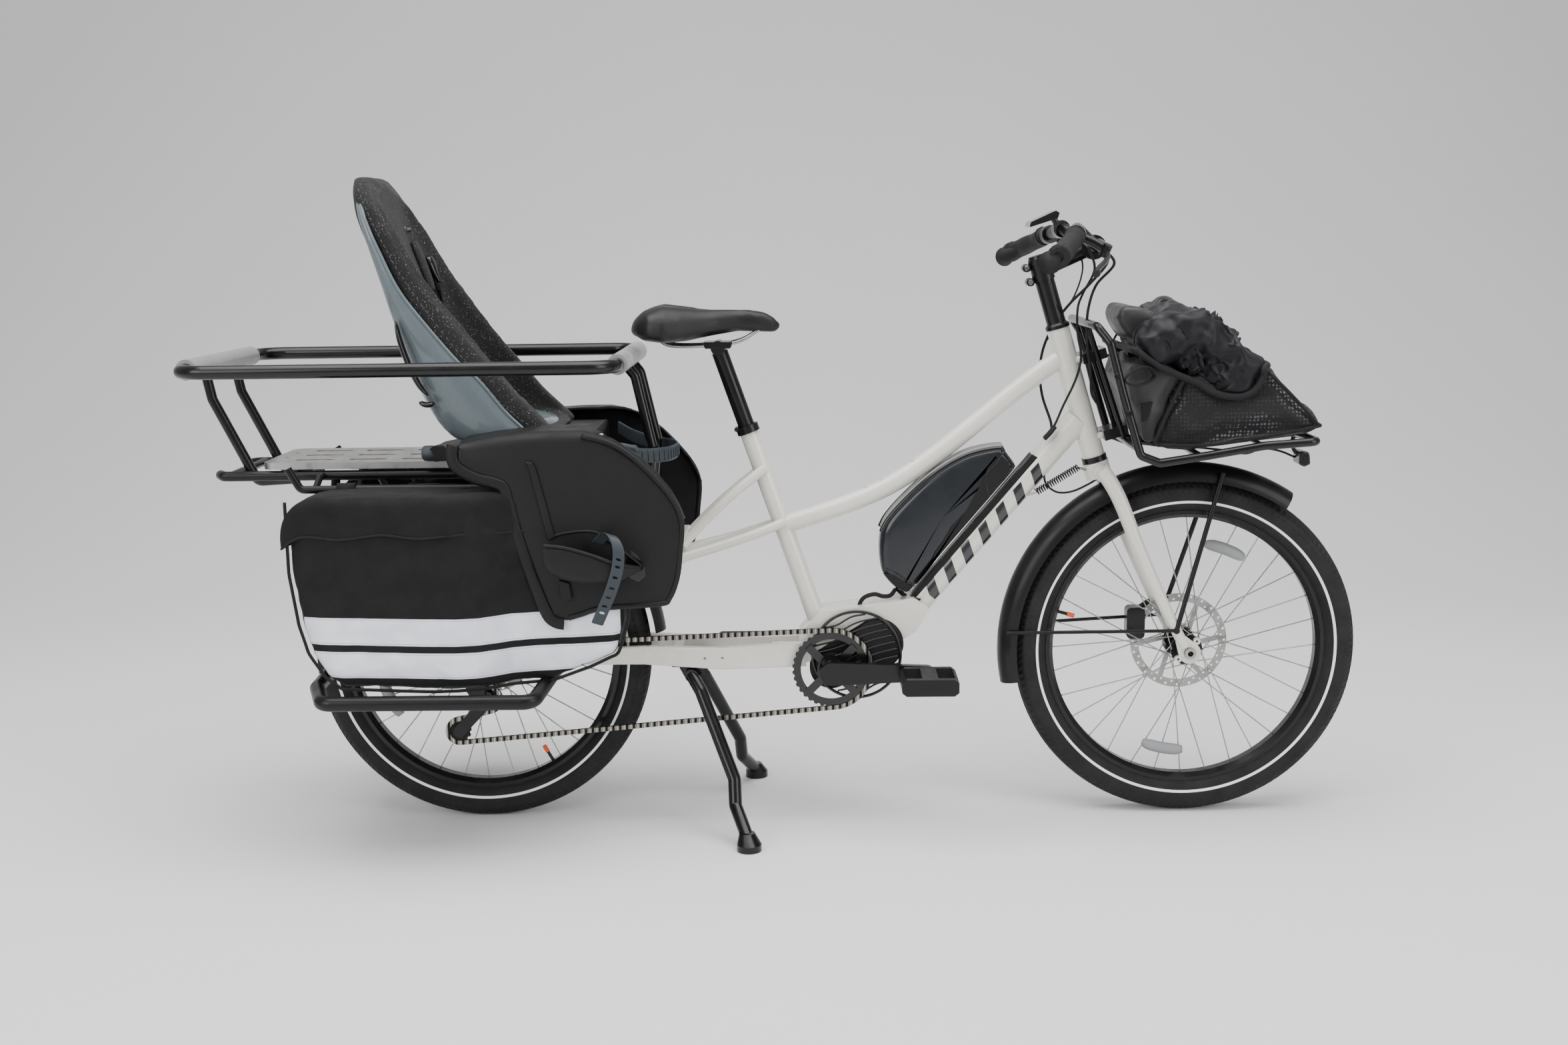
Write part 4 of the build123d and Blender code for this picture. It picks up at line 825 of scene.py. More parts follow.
def guard(side):
    tag = "right" if side < 0 else "left"
    rows = []
    columns = 90
    for c in range(columns):
        x = -0.549 + (0.378) * c / (columns - 1)
        top, bottom = interpolate(guard_top, x), interpolate(guard_bottom, x)
        inner = interpolate([(-0.36, 0.150), (-0.325, 0.190), (-0.30, 0.222), (-0.1, 0.228)], x)
        row = []
        for k in range(8):
            share = k / 8
            row.append(Vector((x, side * (inner + (0.222 - inner) * share), top - 0.002 * share)))
        for k in range(9):
            turn = math.pi / 2 * k / 8
            radius = min(0.018, (top - bottom) * 0.4)
            row.append(Vector((x, side * (0.2225 + 0.018 * math.sin(turn)),
                               top - 0.002 - radius * (1 - math.cos(turn)))))
        start = row[-1].z
        for k in range(1, 24):
            share = k / 23
            bulge = 0.002 * math.sin(math.pi * share)
            row.append(Vector((x, side * (0.2405 + bulge), start + (bottom - start) * share)))
        rows.append(row)
    panel = loft("guard_panel_" + tag, rows, m_plastic, "frame", closed=False, thick=0.004, offset=0,
                 bevel=0.001)
    edge = [(-0.547, 0.733), (-0.551, 0.716), (-0.545, 0.700), (-0.517, 0.684), (-0.486, 0.676),
            (-0.467, 0.664),
            (-0.458, 0.630), (-0.447, 0.583), (-0.425, 0.512), (-0.403, 0.450), (-0.392, 0.434),
            (-0.374, 0.430)]
    band_path = smooth_path([(x, 0, z) for x, z in edge], 8)
    inside = inset_outline(band_path, 0.021)
    rows = []
    for p, q in list(zip(band_path, inside))[2:-2]:
        rows.append([Vector((p.x, side * 0.2400, p.z)), Vector((p.x, side * 0.2455, p.z)),
                     Vector((p.x * 0.85 + q.x * 0.15, side * 0.2475, p.z * 0.85 + q.z * 0.15)),
                     Vector((p.x * 0.2 + q.x * 0.8, side * 0.2470, p.z * 0.2 + q.z * 0.8)),
                     Vector((q.x, side * 0.2440, q.z)), Vector((q.x, side * 0.2400, q.z))])
    loft("guard_rim_" + tag, rows, m_plastic, "frame", closed=False, levels=1)
    border = [(-0.372, 0.431), (-0.348, 0.438), (-0.313, 0.448), (-0.216, 0.454), (-0.198, 0.464),
              (-0.184, 0.500),
              (-0.178, 0.545), (-0.175, 0.598), (-0.194, 0.642), (-0.244, 0.698), (-0.290, 0.731),
              (-0.340, 0.745)]
    pipe("guard_border_" + tag, [(x, side * 0.2415, z) for x, z in border], 0.005, m_plastic, "frame",
         steps=6, sides=10)
    return panel


panels = [guard(-1), guard(1)]
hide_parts("child_seat_base")
base_rows = []
for r in range(40):
    x = -0.640 + 0.300 * r / 39
    top = interpolate([(-0.640, 0.702), (-0.592, 0.710), (-0.560, 0.724), (-0.500, 0.735), (-0.340, 0.735)],
                      x)
    half = interpolate([(-0.640, 0.085), (-0.62, 0.10), (-0.565, 0.105), (-0.545, 0.152), (-0.34, 0.152)], x)
    ring = []
    for k in range(36):
        angle = 2 * math.pi * k / 36
        wide = math.copysign(abs(math.cos(angle)) ** 0.3, math.cos(angle))
        tall = math.copysign(abs(math.sin(angle)) ** 0.3, math.sin(angle))
        middle, height = (top + 0.689) / 2, (top - 0.689) / 2
        ring.append(Vector((x, wide * half, middle + tall * height)))
    base_rows.append(ring)
loft("seat_base_shell", base_rows, m_plastic, "frame", caps=True, bevel=0.002)


# ---- saddle -----------------------------------------------------------------------------
saddle_half = [(-0.277, 0.012), (-0.272, 0.040), (-0.262, 0.060), (-0.240, 0.079), (-0.215, 0.084),
               (-0.185, 0.074),
               (-0.150, 0.052), (-0.115, 0.036), (-0.080, 0.026), (-0.040, 0.020), (-0.018, 0.016),
               (-0.005, 0.006)]
saddle_top = [(-0.277, 0.915), (-0.268, 0.930), (-0.250, 0.944), (-0.217, 0.952), (-0.170, 0.946),
              (-0.132, 0.943),
              (-0.090, 0.944), (-0.061, 0.944), (-0.035, 0.940), (-0.016, 0.930), (-0.005, 0.916)]
saddle_low = [(-0.277, 0.905), (-0.250, 0.892), (-0.215, 0.888), (-0.173, 0.891), (-0.133, 0.899),
              (-0.082, 0.907),
              (-0.014, 0.904), (-0.005, 0.912)]
rings = []
for r in range(70):
    x = -0.277 + 0.272 * r / 69
    half, top, low = (interpolate(t, x) for t in (saddle_half, saddle_top, saddle_low))
    ring = []
    for k in range(48):
        angle = 2 * math.pi * k / 48
        y = half * math.copysign(abs(math.cos(angle)) ** 0.8, math.cos(angle))
        lift = math.sin(angle)
        share = abs(y) / max(half, 0.001)
        if lift > 0:
            dip = 0.008 * math.exp(-(y / 0.011) ** 2) * min(1.0, max(0.0, (-0.03 - x) / 0.05))
            z = low + 0.012 + (top - low - 0.012) * lift ** 0.55 - dip
            if x < -0.16:
                z += 0.004 * math.sin(math.pi * min(1.0, share)) - 0.002
        else:
            z = low + 0.012 + 0.012 * lift
        ring.append(Vector((x, y, z)))
    rings.append(ring)
saddle = loft("saddle_body", rings, m_saddle, None, caps=True)
remesh(saddle, 0.004)
simulate(saddle, 0.002)
soften(saddle)
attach(saddle, "seat")
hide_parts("saddle")
for side in (-1, 1):
    pipe("saddle_rail_%d" % (side + 1), [(-0.228, side * 0.022, 0.896), (-0.205, side * 0.022, 0.882),
                                          (-0.150, side * 0.022, 0.880), (-0.085, side * 0.020, 0.886),
                                          (-0.042, side * 0.008, 0.908)], 0.0035, m_steel, "seat")
low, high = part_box("seatpost")
clamp_x = low.x + 0.014
prism("saddle_clamp", [(clamp_x - 0.024, high.z - 0.014), (clamp_x + 0.022, high.z - 0.014),
                        (clamp_x + 0.026, high.z - 0.002), (clamp_x - 0.028, high.z - 0.002)], -0.027, 0.027,
      m_alloy, "seat")


# ---- front bag --------------------------------------------------------------------------
def fold(obj, depth, stretch, seed=0.0):
    """Presses long sharp creases into cloth."""
    for vertex in obj.data.vertices:
        place = Vector((vertex.co.x * stretch[0], vertex.co.y * stretch[1], vertex.co.z * stretch[2] + seed))
        bend = Vector((noise.noise(place * 0.6), noise.noise(place * 0.6 + Vector((5, 2, 1))), 0)) * 0.8
        crease = 1 - abs(noise.noise(place + bend)) * 2.6
        vertex.co += vertex.normal * depth * (max(-0.6, crease) ** 1 - 0.45)
    return obj


m_waxed = Look("waxed_cloth", 0.42, sheen=0.03, shine=0.3).colour((0.018, 0.018, 0.019), 0.35, 6).uneven(0.12)
m_waxed.over(math_node(m_waxed.tree, "MULTIPLY", m_waxed.speckle(16, 3, (1.6, 1, 0.35)), 0.5),
             (0.075, 0.075, 0.078))
m_waxed = m_waxed.relief(m_waxed.speckle(30, 3), 0.5, 0.002).material
net_outline = [(0.690, 0.819), (0.672, 0.782), (0.656, 0.745), (0.640, 0.703), (0.668, 0.700), (0.733, 0.700),
               (0.829, 0.714), (0.905, 0.724), (0.930, 0.732), (0.926, 0.745), (0.880, 0.798), (0.832, 0.846),
               (0.820, 0.830), (0.800, 0.812), (0.760, 0.808), (0.720, 0.826)]
rear_outline = [(0.697, 0.830), (0.690, 0.819), (0.672, 0.782), (0.656, 0.745), (0.640, 0.704),
                (0.630, 0.712),
                (0.612, 0.780), (0.600, 0.822), (0.604, 0.846), (0.645, 0.850)]
hood_outline = [(0.640, 0.925), (0.665, 0.924), (0.690, 0.941), (0.722, 0.940), (0.751, 0.931),
                (0.790, 0.894),
                (0.816, 0.866), (0.832, 0.843), (0.829, 0.822), (0.812, 0.802), (0.788, 0.792),
                (0.750, 0.797),
                (0.711, 0.818), (0.673, 0.835), (0.642, 0.850), (0.616, 0.874), (0.618, 0.900)]
tail_outline = [(0.587, 0.921), (0.592, 0.936), (0.604, 0.944), (0.628, 0.945), (0.650, 0.936),
                (0.668, 0.922),
                (0.655, 0.895), (0.628, 0.876), (0.612, 0.888), (0.598, 0.906)]
for name, outline, half, material, seed in (
        ("front_bag_net", net_outline, 0.146, mesh_cloth_material(), 1.0),
        ("front_bag_rear", rear_outline, 0.140, m_waxed, 4.0),
        ("front_bag_hood", hood_outline, 0.148, m_nylon, 2.0),
        ("front_bag_tail", tail_outline, 0.085, m_waxed, 3.0)):
    part = prism(name, outline, -half, half, material, None, bevel=0.012)
    remesh(part, 0.005)
    simulate(part, 0.004)
    if material is m_nylon:
        fold(part, 0.024, (11, 3, 9), seed)
        fold(part, 0.012, (24, 6, 20), seed + 4)
        fold(part, 0.005, (50, 20, 38), seed + 9)
    else:
        fold(part, 0.006, (10, 5, 12), seed)
    for vertex in part.data.vertices:
        past = vertex.co.x - 0.90
        if past > 0:
            vertex.co.x += 0.018 * (1 - (vertex.co.y / 0.15) ** 2)
    smoother = bmesh.new()
    smoother.from_mesh(part.data)
    for turn in range(2):
        bmesh.ops.smooth_vert(smoother, verts=smoother.verts, factor=0.5, use_axis_x=True, use_axis_y=True,
                              use_axis_z=True)
    smoother.to_mesh(part.data)
    smoother.free()
    soften(part)
    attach(part, "frame")
    if name == "front_bag_net":
        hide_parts("front_bag")
rim_points = [(0.612, 0.868), (0.642, 0.846), (0.673, 0.831), (0.711, 0.815), (0.750, 0.794), (0.788, 0.789),
              (0.812, 0.800), (0.826, 0.822), (0.828, 0.838)]
loop = [(x, -0.152, z) for x, z in rim_points] + [(0.840, -0.11, 0.842), (0.840, 0.11, 0.842)]
loop += [(x, 0.152, z) for x, z in reversed(rim_points)] + [(0.602, 0.12, 0.872), (0.602, -0.12, 0.872)]
pipe("front_bag_rim", loop, 0.006, m_web, "frame", steps=8, sides=10, closed=True)
for side in (-1, 1):
    welt = [(0.692, 0.822), (0.673, 0.782), (0.657, 0.745), (0.641, 0.705)]
    pipe("front_bag_seam_%d" % (side + 1), [(x, side * 0.149, z) for x, z in welt], 0.0035, m_web, "frame",
         sides=8)
    welt = [(0.826, 0.840), (0.872, 0.796), (0.920, 0.744), (0.921, 0.735), (0.829, 0.718), (0.733, 0.705),
            (0.648, 0.706)]
    pipe("front_bag_welt_%d" % (side + 1), [(x, side * 0.149, z) for x, z in welt], 0.003, m_web, "frame",
         sides=8)
    cord = [(0.652, side * 0.090, 0.900), (0.630, side * 0.130, 0.890), (0.618, side * 0.146, 0.862),
            (0.628, side * 0.150, 0.842), (0.644, side * 0.150, 0.846), (0.640, side * 0.146, 0.872),
            (0.655, side * 0.130, 0.905)]
    pipe("front_bag_cord_%d" % (side + 1), cord, 0.0022, m_web, "frame", sides=8)
    tie = [(0.588, side * 0.160, 0.822), (0.604, side * 0.158, 0.838), (0.628, side * 0.154, 0.842),
           (0.640, side * 0.152, 0.826), (0.622, side * 0.156, 0.814), (0.600, side * 0.160, 0.812)]
    pipe("front_bag_tie_%d" % (side + 1), tie, 0.009, m_web, "frame", sides=10, flat=0.2, closed=True)
    prism("front_bag_patch_%d" % (side + 1), [(0.618, 0.778), (0.641, 0.782), (0.632, 0.748), (0.620, 0.744)],
          *sorted((side * 0.141, side * 0.1435)), m_gloss, "frame", bevel=0.001)


# ---- battery ----------------------------------------------------------------------------
battery_outline = [(0.170, 0.520), (0.174, 0.542), (0.185, 0.563), (0.212, 0.594), (0.252, 0.632),
                   (0.292, 0.661),
                   (0.332, 0.681), (0.369, 0.690), (0.394, 0.692), (0.402, 0.680), (0.417, 0.658),
                   (0.412, 0.646),
                   (0.373, 0.600), (0.300, 0.515), (0.236, 0.438), (0.218, 0.424), (0.196, 0.436),
                   (0.176, 0.460),
                   (0.170, 0.491)]
loop = even(smooth_path([(x, 0, z) for x, z in battery_outline], 6, closed=True), 150)
rings = []
for y, amount in ((-0.0365, 0.060), (-0.0365, 0.020), (-0.0355, 0.012), (-0.031, 0.004), (-0.024, 0.0008),
                  (0.0, 0.0),
                  (0.024, 0.0008), (0.031, 0.004), (0.0355, 0.012), (0.0365, 0.020), (0.0365, 0.060)):
    ring = inset_outline(loop, min(amount, 0.02))
    if amount > 0.02:
        middle = Vector((0.285, 0, 0.565))
        ring = [middle + (p - middle) * 0.02 for p in ring]
    rings.append([Vector((p.x, y, p.z)) for p in ring])
case = loft("battery_case", rings, m_slate, "battery_pack", caps=True)
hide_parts("battery")
top_line = smooth_path([(x, 0, z) for x, z in battery_outline[1:9]], 8)
spine = []
for p in top_line:
    spine.append([Vector((p.x, 0, p.z)) + Vector((0, y, rise)) for y, rise in
                  ((-0.021, -0.001), (-0.018, 0.0022), (0, 0.003), (0.018, 0.0022), (0.021, -0.001))])
loft("battery_spine", spine, m_spine, "battery_pack", closed=False, thick=0.0015)
for side in (-1, 1):
    pipe("battery_edge_%d" % (side + 1), [(p.x, side * 0.0285, p.z - 0.0035) for p in top_line[::4]], 0.0052,
         m_gloss,
         "battery_pack", steps=4, sides=10)
    y = side * 0.0362
    lower = [(0.236, 0.441), (0.250, 0.458), (0.266, 0.478), (0.270, 0.500), (0.284, 0.520), (0.300, 0.548),
             (0.328, 0.578),
             (0.352, 0.622), (0.366, 0.655), (0.388, 0.680), (0.404, 0.664), (0.406, 0.650), (0.370, 0.604),
             (0.300, 0.523)]
    prism("battery_flank_%d" % (side + 1), lower, *sorted((side * 0.030, side * 0.0372)), m_plastic,
          "battery_pack", bevel=0.0012)
    seams = ([(0.395, 0.684), (0.382, 0.664), (0.361, 0.638), (0.370, 0.603)],
             [(0.177, 0.470), (0.197, 0.465), (0.233, 0.438)])
    for number, seam in enumerate(seams):
        pipe("battery_seam_%d_%d" % (side + 1, number), [(x, side * 0.0368, z) for x, z in seam], 0.0011,
             m_gloss,
             "battery_pack", steps=4, sides=6)
    foot = [(0.176, 0.462), (0.196, 0.460), (0.230, 0.438), (0.219, 0.427), (0.198, 0.438)]
    prism("battery_foot_%d" % (side + 1), foot, *sorted((side * 0.028, side * 0.0375)), m_plastic,
          "battery_pack", bevel=0.002)
pipe("battery_lead",
     [(0.200, -0.012, 0.428), (0.190, -0.016, 0.417), (0.176, -0.018, 0.416), (0.160, -0.018, 0.420),
                      (0.140, -0.016, 0.412), (0.132, -0.012, 0.392), (0.140, -0.008, 0.372)], 0.004,
     m_rubber, "frame")


# ---- drive unit -------------------------------------------------------------------------
low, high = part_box("drive_unit")
hub = Vector(((low.x + high.x) / 2, 0, (low.z + high.z) / 2))
reach = (high.x - low.x) / 2 - 0.006
for side, level in ((-1, low.y), (1, high.y)):
    for k in range(-5, 6):
        offset = k * reach / 6
        span = math.sqrt(max(0.0, reach ** 2 - offset ** 2)) * 0.94
        across_line = []
        for step in range(9):
            u = -1 + step / 4
            along_x, along_z = 0.94, 0.34
            wave = 0.0025 * math.sin(4 * u)
            across_line.append((hub.x + u * span * along_x - (offset + wave) * along_z, level + side * 0.0006,
                                hub.z + u * span * along_z + (offset + wave) * along_x))
        pipe("drive_rib_%d_%d" % (side + 1, k + 5), across_line, 0.0019, m_gloss, "frame", steps=2, sides=8)
    ring = [(hub.x + reach * math.cos(a), level,
             hub.z + reach * math.sin(a)) for a in (2 * math.pi * k / 40 for k in range(40))]
    pipe("drive_ring_%d" % (side + 1), ring, 0.003, m_gloss, "frame", steps=2, sides=8, closed=True)
bolt("drive_bolt", (0.188, -0.030, 0.381), (0, -1, 0), 0.008, 0.006, m_steel, "frame")


# ---- cables, spring and small fittings --------------------------------------------------
def cable(name, points, radius):
    run = pipe(name, points, radius, m_rubber, None, steps=8, sides=10)
    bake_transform(run)


cable("brake_hose_rear",
      [(0.548, -0.165, 1.044), (0.560, -0.125, 1.020), (0.538, -0.078, 0.983), (0.510, -0.030, 0.946),
                          (0.488, 0.018, 0.905), (0.472, 0.034, 0.860), (0.467, 0.030, 0.817),
                          (0.471, 0.022, 0.777),
                          (0.484, 0.012, 0.736), (0.486, 0.006, 0.722)], 0.0025)
cable("gear_cable",
      [(0.528, -0.120, 1.048), (0.544, -0.092, 1.009), (0.530, -0.056, 0.966), (0.523, -0.044, 0.939),
                     (0.524, -0.040, 0.895), (0.530, -0.040, 0.862), (0.529, -0.040, 0.838),
                     (0.519, -0.040, 0.806),
                     (0.500, -0.038, 0.765), (0.488, -0.034, 0.735), (0.478, -0.030, 0.717)], 0.0022)
cable("display_cable",
      [(0.512, 0.080, 1.072), (0.530, 0.040, 1.050), (0.536, -0.010, 1.010), (0.520, -0.020, 0.960),
                        (0.500, 0.010, 0.925), (0.480, 0.030, 0.880)], 0.0016)
pipe("brake_hose_front",
     [(0.552, -0.172, 1.040), (0.571, -0.130, 1.017), (0.551, -0.070, 0.981), (0.540, -0.056, 0.940),
                          (0.538, -0.054, 0.902), (0.540, -0.052, 0.867), (0.547, -0.046, 0.830),
                          (0.550, -0.040, 0.790),
                          (0.560, -0.036, 0.770)], 0.0025, m_rubber, "steering", steps=8, sides=10)
grommet = [(0.469, -0.0275, 0.706), (0.478, -0.030, 0.716), (0.487, -0.0275, 0.727)]
pipe("cable_port", grommet, 0.009, m_rubber, "frame", steps=6, sides=14, flat=0.5)
start, end = Vector((0.456, -0.020, 0.607)), Vector((0.532, -0.016, 0.651))
axis = (end - start).normalized()
side_way = axis.orthogonal().normalized()
other_way = axis.cross(side_way)
coil = [start + (end - start) * (k / 170) + (side_way * math.cos(k * 0.72) + other_way * math.sin(k * 0.72)) * 0.0062
        for k in range(171)]
spring = pipe("steering_spring", coil, 0.0012, m_alloy, None, curve=False, sides=6)
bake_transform(spring)
pipe("spring_hooks", [(0.440, -0.016, 0.602), (0.448, -0.018, 0.604), (0.458, -0.020, 0.608)], 0.0022,
     m_steel, "frame")
pipe("spring_hook_front", [(0.531, -0.016, 0.650), (0.540, -0.014, 0.648), (0.549, -0.010, 0.645)], 0.0022,
     m_steel,
            "steering")
cable("light_cable",
      [(0.470, -0.010, 0.648), (0.474, -0.014, 0.622), (0.494, -0.016, 0.606), (0.522, -0.016, 0.607),
                      (0.552, -0.014, 0.620), (0.572, -0.012, 0.632)], 0.002)

for x, z in ((0.573, 0.828), (0.594, 0.764)):
    for side in (-1, 1):
        bolt("rack_bolt_%d_%d" % (x * 1000, side + 1), (x, side * 0.1705, z), (0, side, 0), 0.0055, 0.003,
             m_alloy, "frame")
prism("front_light",
      [(0.930, 0.652), (0.930, 0.674), (0.936, 0.677), (0.948, 0.674), (0.951, 0.652), (0.940, 0.647)],
      -0.022, 0.022, m_gloss, "frame", bevel=0.003)
lens = []
for size, depth in ((0.001, 0.9535), (0.010, 0.953), (0.015, 0.951), (0.017, 0.946)):
    lens.append([(depth, size * math.cos(a),
                  0.662 + size * 0.62 * math.sin(a)) for a in (2 * math.pi * k / 24 for k in range(24))])
loft("front_light_lens", lens, m_spine, "frame")
pipe("front_light_arm", [(0.926, 0.0, 0.706), (0.922, 0.0, 0.690), (0.926, 0.0, 0.676), (0.934, 0.0, 0.668)],
     0.006, m_plastic,
     "frame", flat=0.6)
pipe("front_light_lead",
     [(0.934, 0.010, 0.660), (0.905, 0.020, 0.672), (0.874, 0.024, 0.676), (0.843, 0.020, 0.668),
                          (0.800, 0.010, 0.676), (0.740, 0.0, 0.684)], 0.002, m_rubber, "frame")


def on_wheel(axle, degrees, radius, y=0.0):
    angle = math.radians(degrees)
    return Vector((axle.x + radius * math.cos(angle), y, axle.z + radius * math.sin(angle)))


for axle, body, start_angle in ((front_axle, "front_wheel", 164.0), (rear_axle, "rear_wheel", -60.0)):
    stem_line = [on_wheel(axle, start_angle, r) for r in (0.252, 0.236, 0.222)]
    pipe(body + "_valve", stem_line, 0.0032, m_alloy, body, steps=3)
    cap_line = [on_wheel(axle, start_angle, r) for r in (0.224, 0.216, 0.210)]
    pipe(body + "_valve_cap", cap_line, 0.0042, m_red, body, steps=3)
    for number, degrees in enumerate((start_angle + 95, start_angle - 95)):
        plate_line = [on_wheel(axle, degrees + d, 0.196, -0.014) for d in (-11, -6, 0, 6, 11)]
        pipe("%s_reflector_%d" % (body, number), plate_line, lambda t: 0.011 - 0.004 * abs(2 * t - 1) ** 4,
             m_spine, body,
             steps=5, sides=12, flat=1.0)


# ---- straps and footrests of the child seat ---------------------------------------------
def ribbon(name, centre, across_way, width, material, body, holes=(), thick=0.0022):
    """A flat strap along a curve; 'holes' are the shares of its length that are punched."""
    path = smooth_path(centre, 8)
    half = Vector(across_way).normalized() * width / 2
    rows = [[p + half * u for u in (-1, -0.45, 0.45, 1)] for p in path]
    count = len(path)
    points = [p for row in rows for p in row]
    faces = grid_faces(count, 4)
    punched = {int(h * (count - 1)) for h in holes}
    faces = [f for i, f in enumerate(faces) if not (i % 3 == 1 and i // 3 in punched)]
    return piece(name, points, faces, material, body, thick=thick, levels=2)


def cup(side):
    tag = "right" if side < 0 else "left"
    back_top = [(-0.404, 0.571), (-0.369, 0.580), (-0.324, 0.581), (-0.295, 0.562), (-0.243, 0.520)]
    near_top = [(-0.404, 0.566), (-0.369, 0.562), (-0.324, 0.549), (-0.280, 0.533), (-0.243, 0.519)]
    floor_line = [(-0.404, 0.532), (-0.394, 0.517), (-0.375, 0.506), (-0.342, 0.499), (-0.278, 0.501),
                  (-0.243, 0.515)]
    rows = []
    for c in range(46):
        x = -0.404 + 0.161 * c / 45
        top, near, base = (interpolate(t, x) for t in (back_top, near_top, floor_line))
        reach = 0.292 - 0.030 * max(0.0, (x + 0.30) / 0.057) ** 2
        row = [Vector((x, side * 0.2425, top + (base - top) * k / 6)) for k in range(6)]
        row += [Vector((x, side * (0.2435 + (reach - 0.2435) * k / 6),
                        base + 0.004 * math.sin(math.pi * k / 12))) for k in range(6)]
        row += [Vector((x, side * (reach + 0.002 * math.sin(3 * k / 6)),
                        base + 0.004 + (near - base - 0.004) * k / 6))
                for k in range(7)]
        rows.append(row)
    first = rows[0]
    rows.insert(0,
                [Vector((p.x - 0.001, side * (0.2425 + (abs(p.y) - 0.2425) * 0.5),
                         0.532 + (p.z - 0.532) * 0.6)) for p in first])
    bowl = loft("foot_cup_" + tag, rows, m_plastic, "%s_footrest" % tag, closed=False, thick=0.0035)
    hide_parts("footrest_" + tag)
    rim = [(x, side * 0.2935, z + 0.001) for x, z in near_top[:4]] + [(-0.243, side * 0.262, 0.521)]
    pipe("foot_cup_rim_" + tag, rim, 0.003, m_plastic, "%s_footrest" % tag, sides=8)
    pipe("foot_cup_back_rim_" + tag, [(x, side * 0.244, z) for x, z in back_top], 0.003, m_plastic,
         "%s_footrest" % tag, sides=8)
    band_line = [(-0.318, side * 0.250, 0.562), (-0.303, side * 0.262, 0.578), (-0.288, side * 0.284, 0.580),
                 (-0.277, side * 0.298, 0.560), (-0.279, side * 0.301, 0.528), (-0.290, side * 0.302, 0.492),
                 (-0.303, side * 0.303, 0.462), (-0.316, side * 0.304, 0.433)]
    ribbon("foot_strap_" + tag, band_line, (1.0, 0.0, -0.30), 0.021, m_strap, "%s_footrest" % tag,
           holes=(0.50, 0.57, 0.64, 0.71, 0.78, 0.85, 0.91))
    prism("foot_latch_" + tag,
          [(-0.386, 0.500), (-0.384, 0.468), (-0.376, 0.462), (-0.364, 0.466), (-0.368, 0.494)],
          *sorted((side * 0.241, side * 0.252)), m_plastic, "frame", bevel=0.002)
    wedge = [(-0.436, 0.704), (-0.430, 0.688), (-0.418, 0.633), (-0.402, 0.566), (-0.390, 0.572),
             (-0.405, 0.637),
             (-0.419, 0.692), (-0.424, 0.702)]
    prism("guard_wedge_" + tag, wedge, *sorted((side * 0.239, side * 0.249)), m_plastic, "frame", bevel=0.003)
    socket = [(-0.262, 0.552), (-0.248, 0.540), (-0.238, 0.520), (-0.237, 0.502), (-0.250, 0.492),
              (-0.266, 0.500), (-0.272, 0.530)]
    prism("guard_socket_" + tag, socket, *sorted((side * 0.238, side * 0.2445)), m_gloss, "frame",
          bevel=0.002)


m_strap = plastic("strap_plastic", (0.035, 0.043, 0.050), 0.45, 0.1)
cup(-1)
cup(1)
post_path = [(-0.322, -0.150, 0.716), (-0.290, -0.124, 0.702), (-0.250, -0.096, 0.692),
             (-0.214, -0.064, 0.690),
             (-0.200, -0.024, 0.690), (-0.199, 0.024, 0.690), (-0.214, 0.064, 0.690), (-0.250, 0.096, 0.692),
             (-0.290, 0.124, 0.702), (-0.322, 0.150, 0.716)]
ribbon("post_strap", post_path, (0, 0, 1), 0.027, m_strap, "frame", thick=0.004)
for k in range(26):
    share = 0.16 + 0.68 * k / 25
    path = smooth_path(post_path, 8)
    p = at(path, share)
    ahead = at(path, min(1.0, share + 0.01))
    out = Vector((ahead - p)).cross(Vector((0, 0, 1))).normalized() * 0.0026
    pipe("post_strap_tooth_%d" % k, [p + out + Vector((0, 0, h)) for h in (-0.010, 0.0, 0.010)], 0.0011,
         m_strap, "frame", steps=2,
         sides=6)
prism("post_strap_buckle",
      [(-0.292, 0.686), (-0.292, 0.717), (-0.262, 0.711), (-0.256, 0.705), (-0.256, 0.676), (-0.270, 0.678)],
      -0.122, -0.098, m_strap, "frame", bevel=0.004)


def sticker_material():
    """White printed label, faintly marked all over."""
    look = Look("white_label", 0.5).colour((0.75, 0.75, 0.74), 0.06, 30)
    return look.relief(look.speckle(300), 0.1, 0.0003).material


prism("base_label", [(-0.321, 0.7445), (-0.321, 0.7475), (-0.306, 0.7460), (-0.306, 0.7430)], -0.226, -0.212,
      sticker_material(),
      "frame", bevel=0.0004)
rings = []
for size, x in ((0.001, -0.640), (0.010, -0.640), (0.0135, -0.637), (0.014, -0.625), (0.013, -0.612),
                (0.006, -0.608), (0.001, -0.607)):
    rings.append([(x, -0.112 + size * math.cos(a),
                   0.703 + size * math.sin(a)) for a in (2 * math.pi * k / 20 for k in range(20))])
loft("lock_knob", rings, m_grey, "seat_lock", smooth=True)


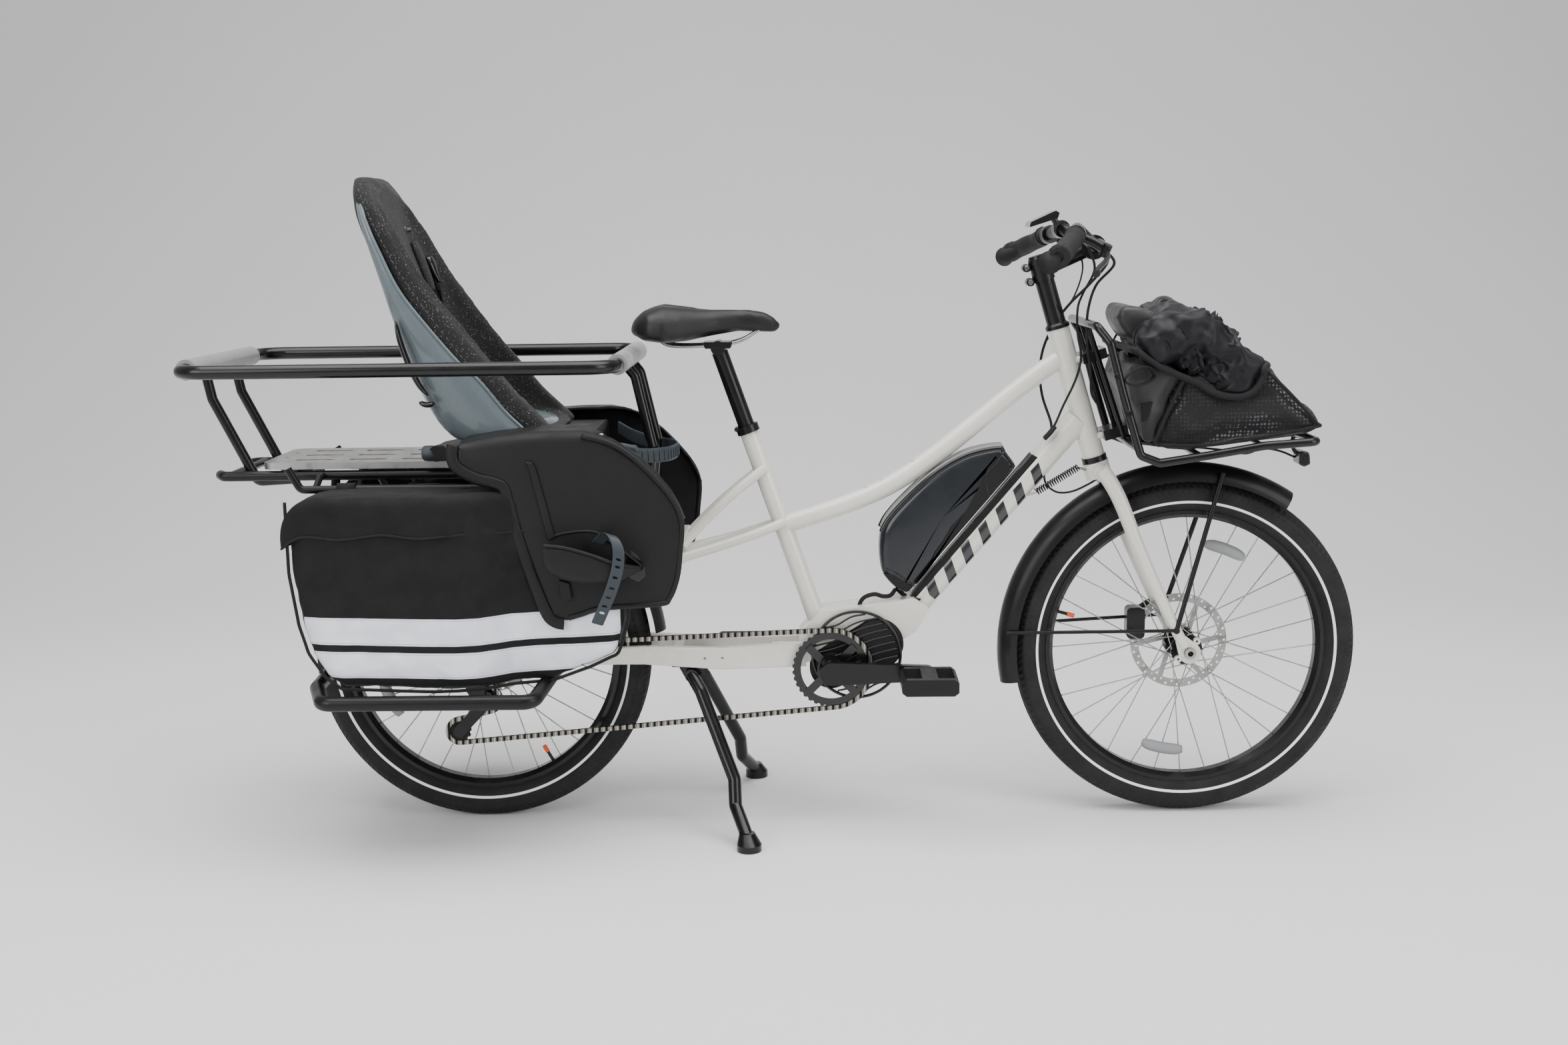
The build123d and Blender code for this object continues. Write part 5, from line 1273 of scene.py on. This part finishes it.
# ---- handlebar ends and stem bolts ------------------------------------------------------
for side, tag in ((-1, "right"), (1, "left")):
    path = [(0.4945, side * 0.1924, 1.0667), (0.486, side * 0.224, 1.0585), (0.472, side * 0.264, 1.0498),
            (0.460, side * 0.300, 1.0418), (0.4472, side * 0.334, 1.0346)]
    body_line = pipe("grip_core_" + tag, path, lambda t: 0.0168 + 0.0022 * t ** 3 + 0.0006 * math.sin(14 * t),
                     m_rubber, "steering",
                     steps=8, sides=24)
    wing = [(0.466, side * 0.262, 1.046), (0.452, side * 0.292, 1.036), (0.438, side * 0.316, 1.028),
            (0.434, side * 0.332, 1.026)]
    pipe("grip_wing_" + tag, wing, lambda t: 0.006 + 0.013 * t, m_rubber, "steering", steps=8, sides=20,
         flat=1.0)
    for k in range(3):
        centre = path[0] if k == 0 else path[4]
        ring_at = Vector(path[0]).lerp(Vector(path[4]), (0.02, 0.90, 0.985)[k])
        along = (Vector(path[4]) - Vector(path[0])).normalized()
        bolt("grip_ring_%s_%d" % (tag, k), ring_at, along, (0.0185, 0.0192, 0.0178)[k], 0.005, m_plastic,
             "steering")
    if side < 0:
        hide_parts("grips")
for along in (0.336, 0.362):
    centre = Vector((0.562, 0, 0.670)) + Vector((-0.279, 0, 0.960)) * along + Vector((-0.960, 0,
                                                                                      -0.279)) * 0.026
    knob = [centre + Vector((0, y, 0)) for y in (-0.014, -0.006, 0.006, 0.014)]
    pipe("stem_lug_%d" % (along * 1000), knob, 0.0075, m_alloy, "steering", steps=3)
    bolt("stem_bolt_%d" % (along * 1000), centre + Vector((0, -0.014, 0)), (0, -1, 0), 0.0048, 0.004, m_steel,
         "steering")


# ---- stage ------------------------------------------------------------------------------
def stage_material():
    look = Look("studio_floor", 0.9).colour((0.80, 0.80, 0.80), 0.015, 2)
    return look.material


sweep = [(-6.0, 0.0), (0.0, 0.0), (1.6, 0.0)]
sweep += [(1.8 + 3.2 * math.sin(a),
           3.2 - 3.2 * math.cos(a)) for a in (math.pi / 2 * k / 24 for k in range(25))]
sweep += [(5.0, 4.5), (5.0, 7.0)]
curve = [Vector((0, y, z)) for y, z in sweep]
points = [Vector((x, p.y, p.z)) for p in curve for x in (-9, 9)]
floor = piece("studio_floor", points, grid_faces(len(curve), 2), stage_material(), None)

world = bpy.data.worlds.new("studio")
bpy.context.scene.world = world
world.use_nodes = True
world.node_tree.nodes["Background"].inputs[0].default_value = (1.0, 1.0, 1.0, 1)
world.node_tree.nodes["Background"].inputs[1].default_value = 0.40


def lamp(name, place, target, size, power):
    light = bpy.data.lights.new(name, "AREA")
    light.shape = "RECTANGLE"
    light.size, light.size_y = size
    light.energy = power
    obj = bpy.data.objects.new(name, light)
    bpy.context.scene.collection.objects.link(obj)
    obj.location = place
    obj.rotation_euler = (Vector(target) - Vector(place)).to_track_quat("-Z", "Y").to_euler()


lamp("overhead", (0, -0.5, 3.6), (0, 0, 0.4), (4.5, 3.0), 230)
lamp("front_left", (-3.0, -3.4, 2.2), (0, 0, 0.6), (2.5, 2.5), 95)
lamp("front_right", (3.2, -2.6, 1.8), (0, 0, 0.6), (2.0, 2.5), 70)

camera_data = bpy.data.cameras.new("camera")
camera = bpy.data.objects.new("camera", camera_data)
bpy.context.scene.collection.objects.link(camera)
camera_data.lens = 39.8
camera_data.sensor_width = 36.0
camera_data.clip_end = 60
camera.location = (0.0512, -3.147, 1.0794)
tilt = 0.1658
forward = Vector((-0.0176 * math.cos(tilt), 0.99985 * math.cos(tilt), -math.sin(tilt))).normalized()
rotation = forward.to_track_quat("-Z", "Y").to_matrix().to_4x4()
camera.matrix_world = Matrix.Translation(camera.location) @ rotation @ Matrix.Rotation(-0.0142, 4, "Z")
bpy.context.scene.camera = camera
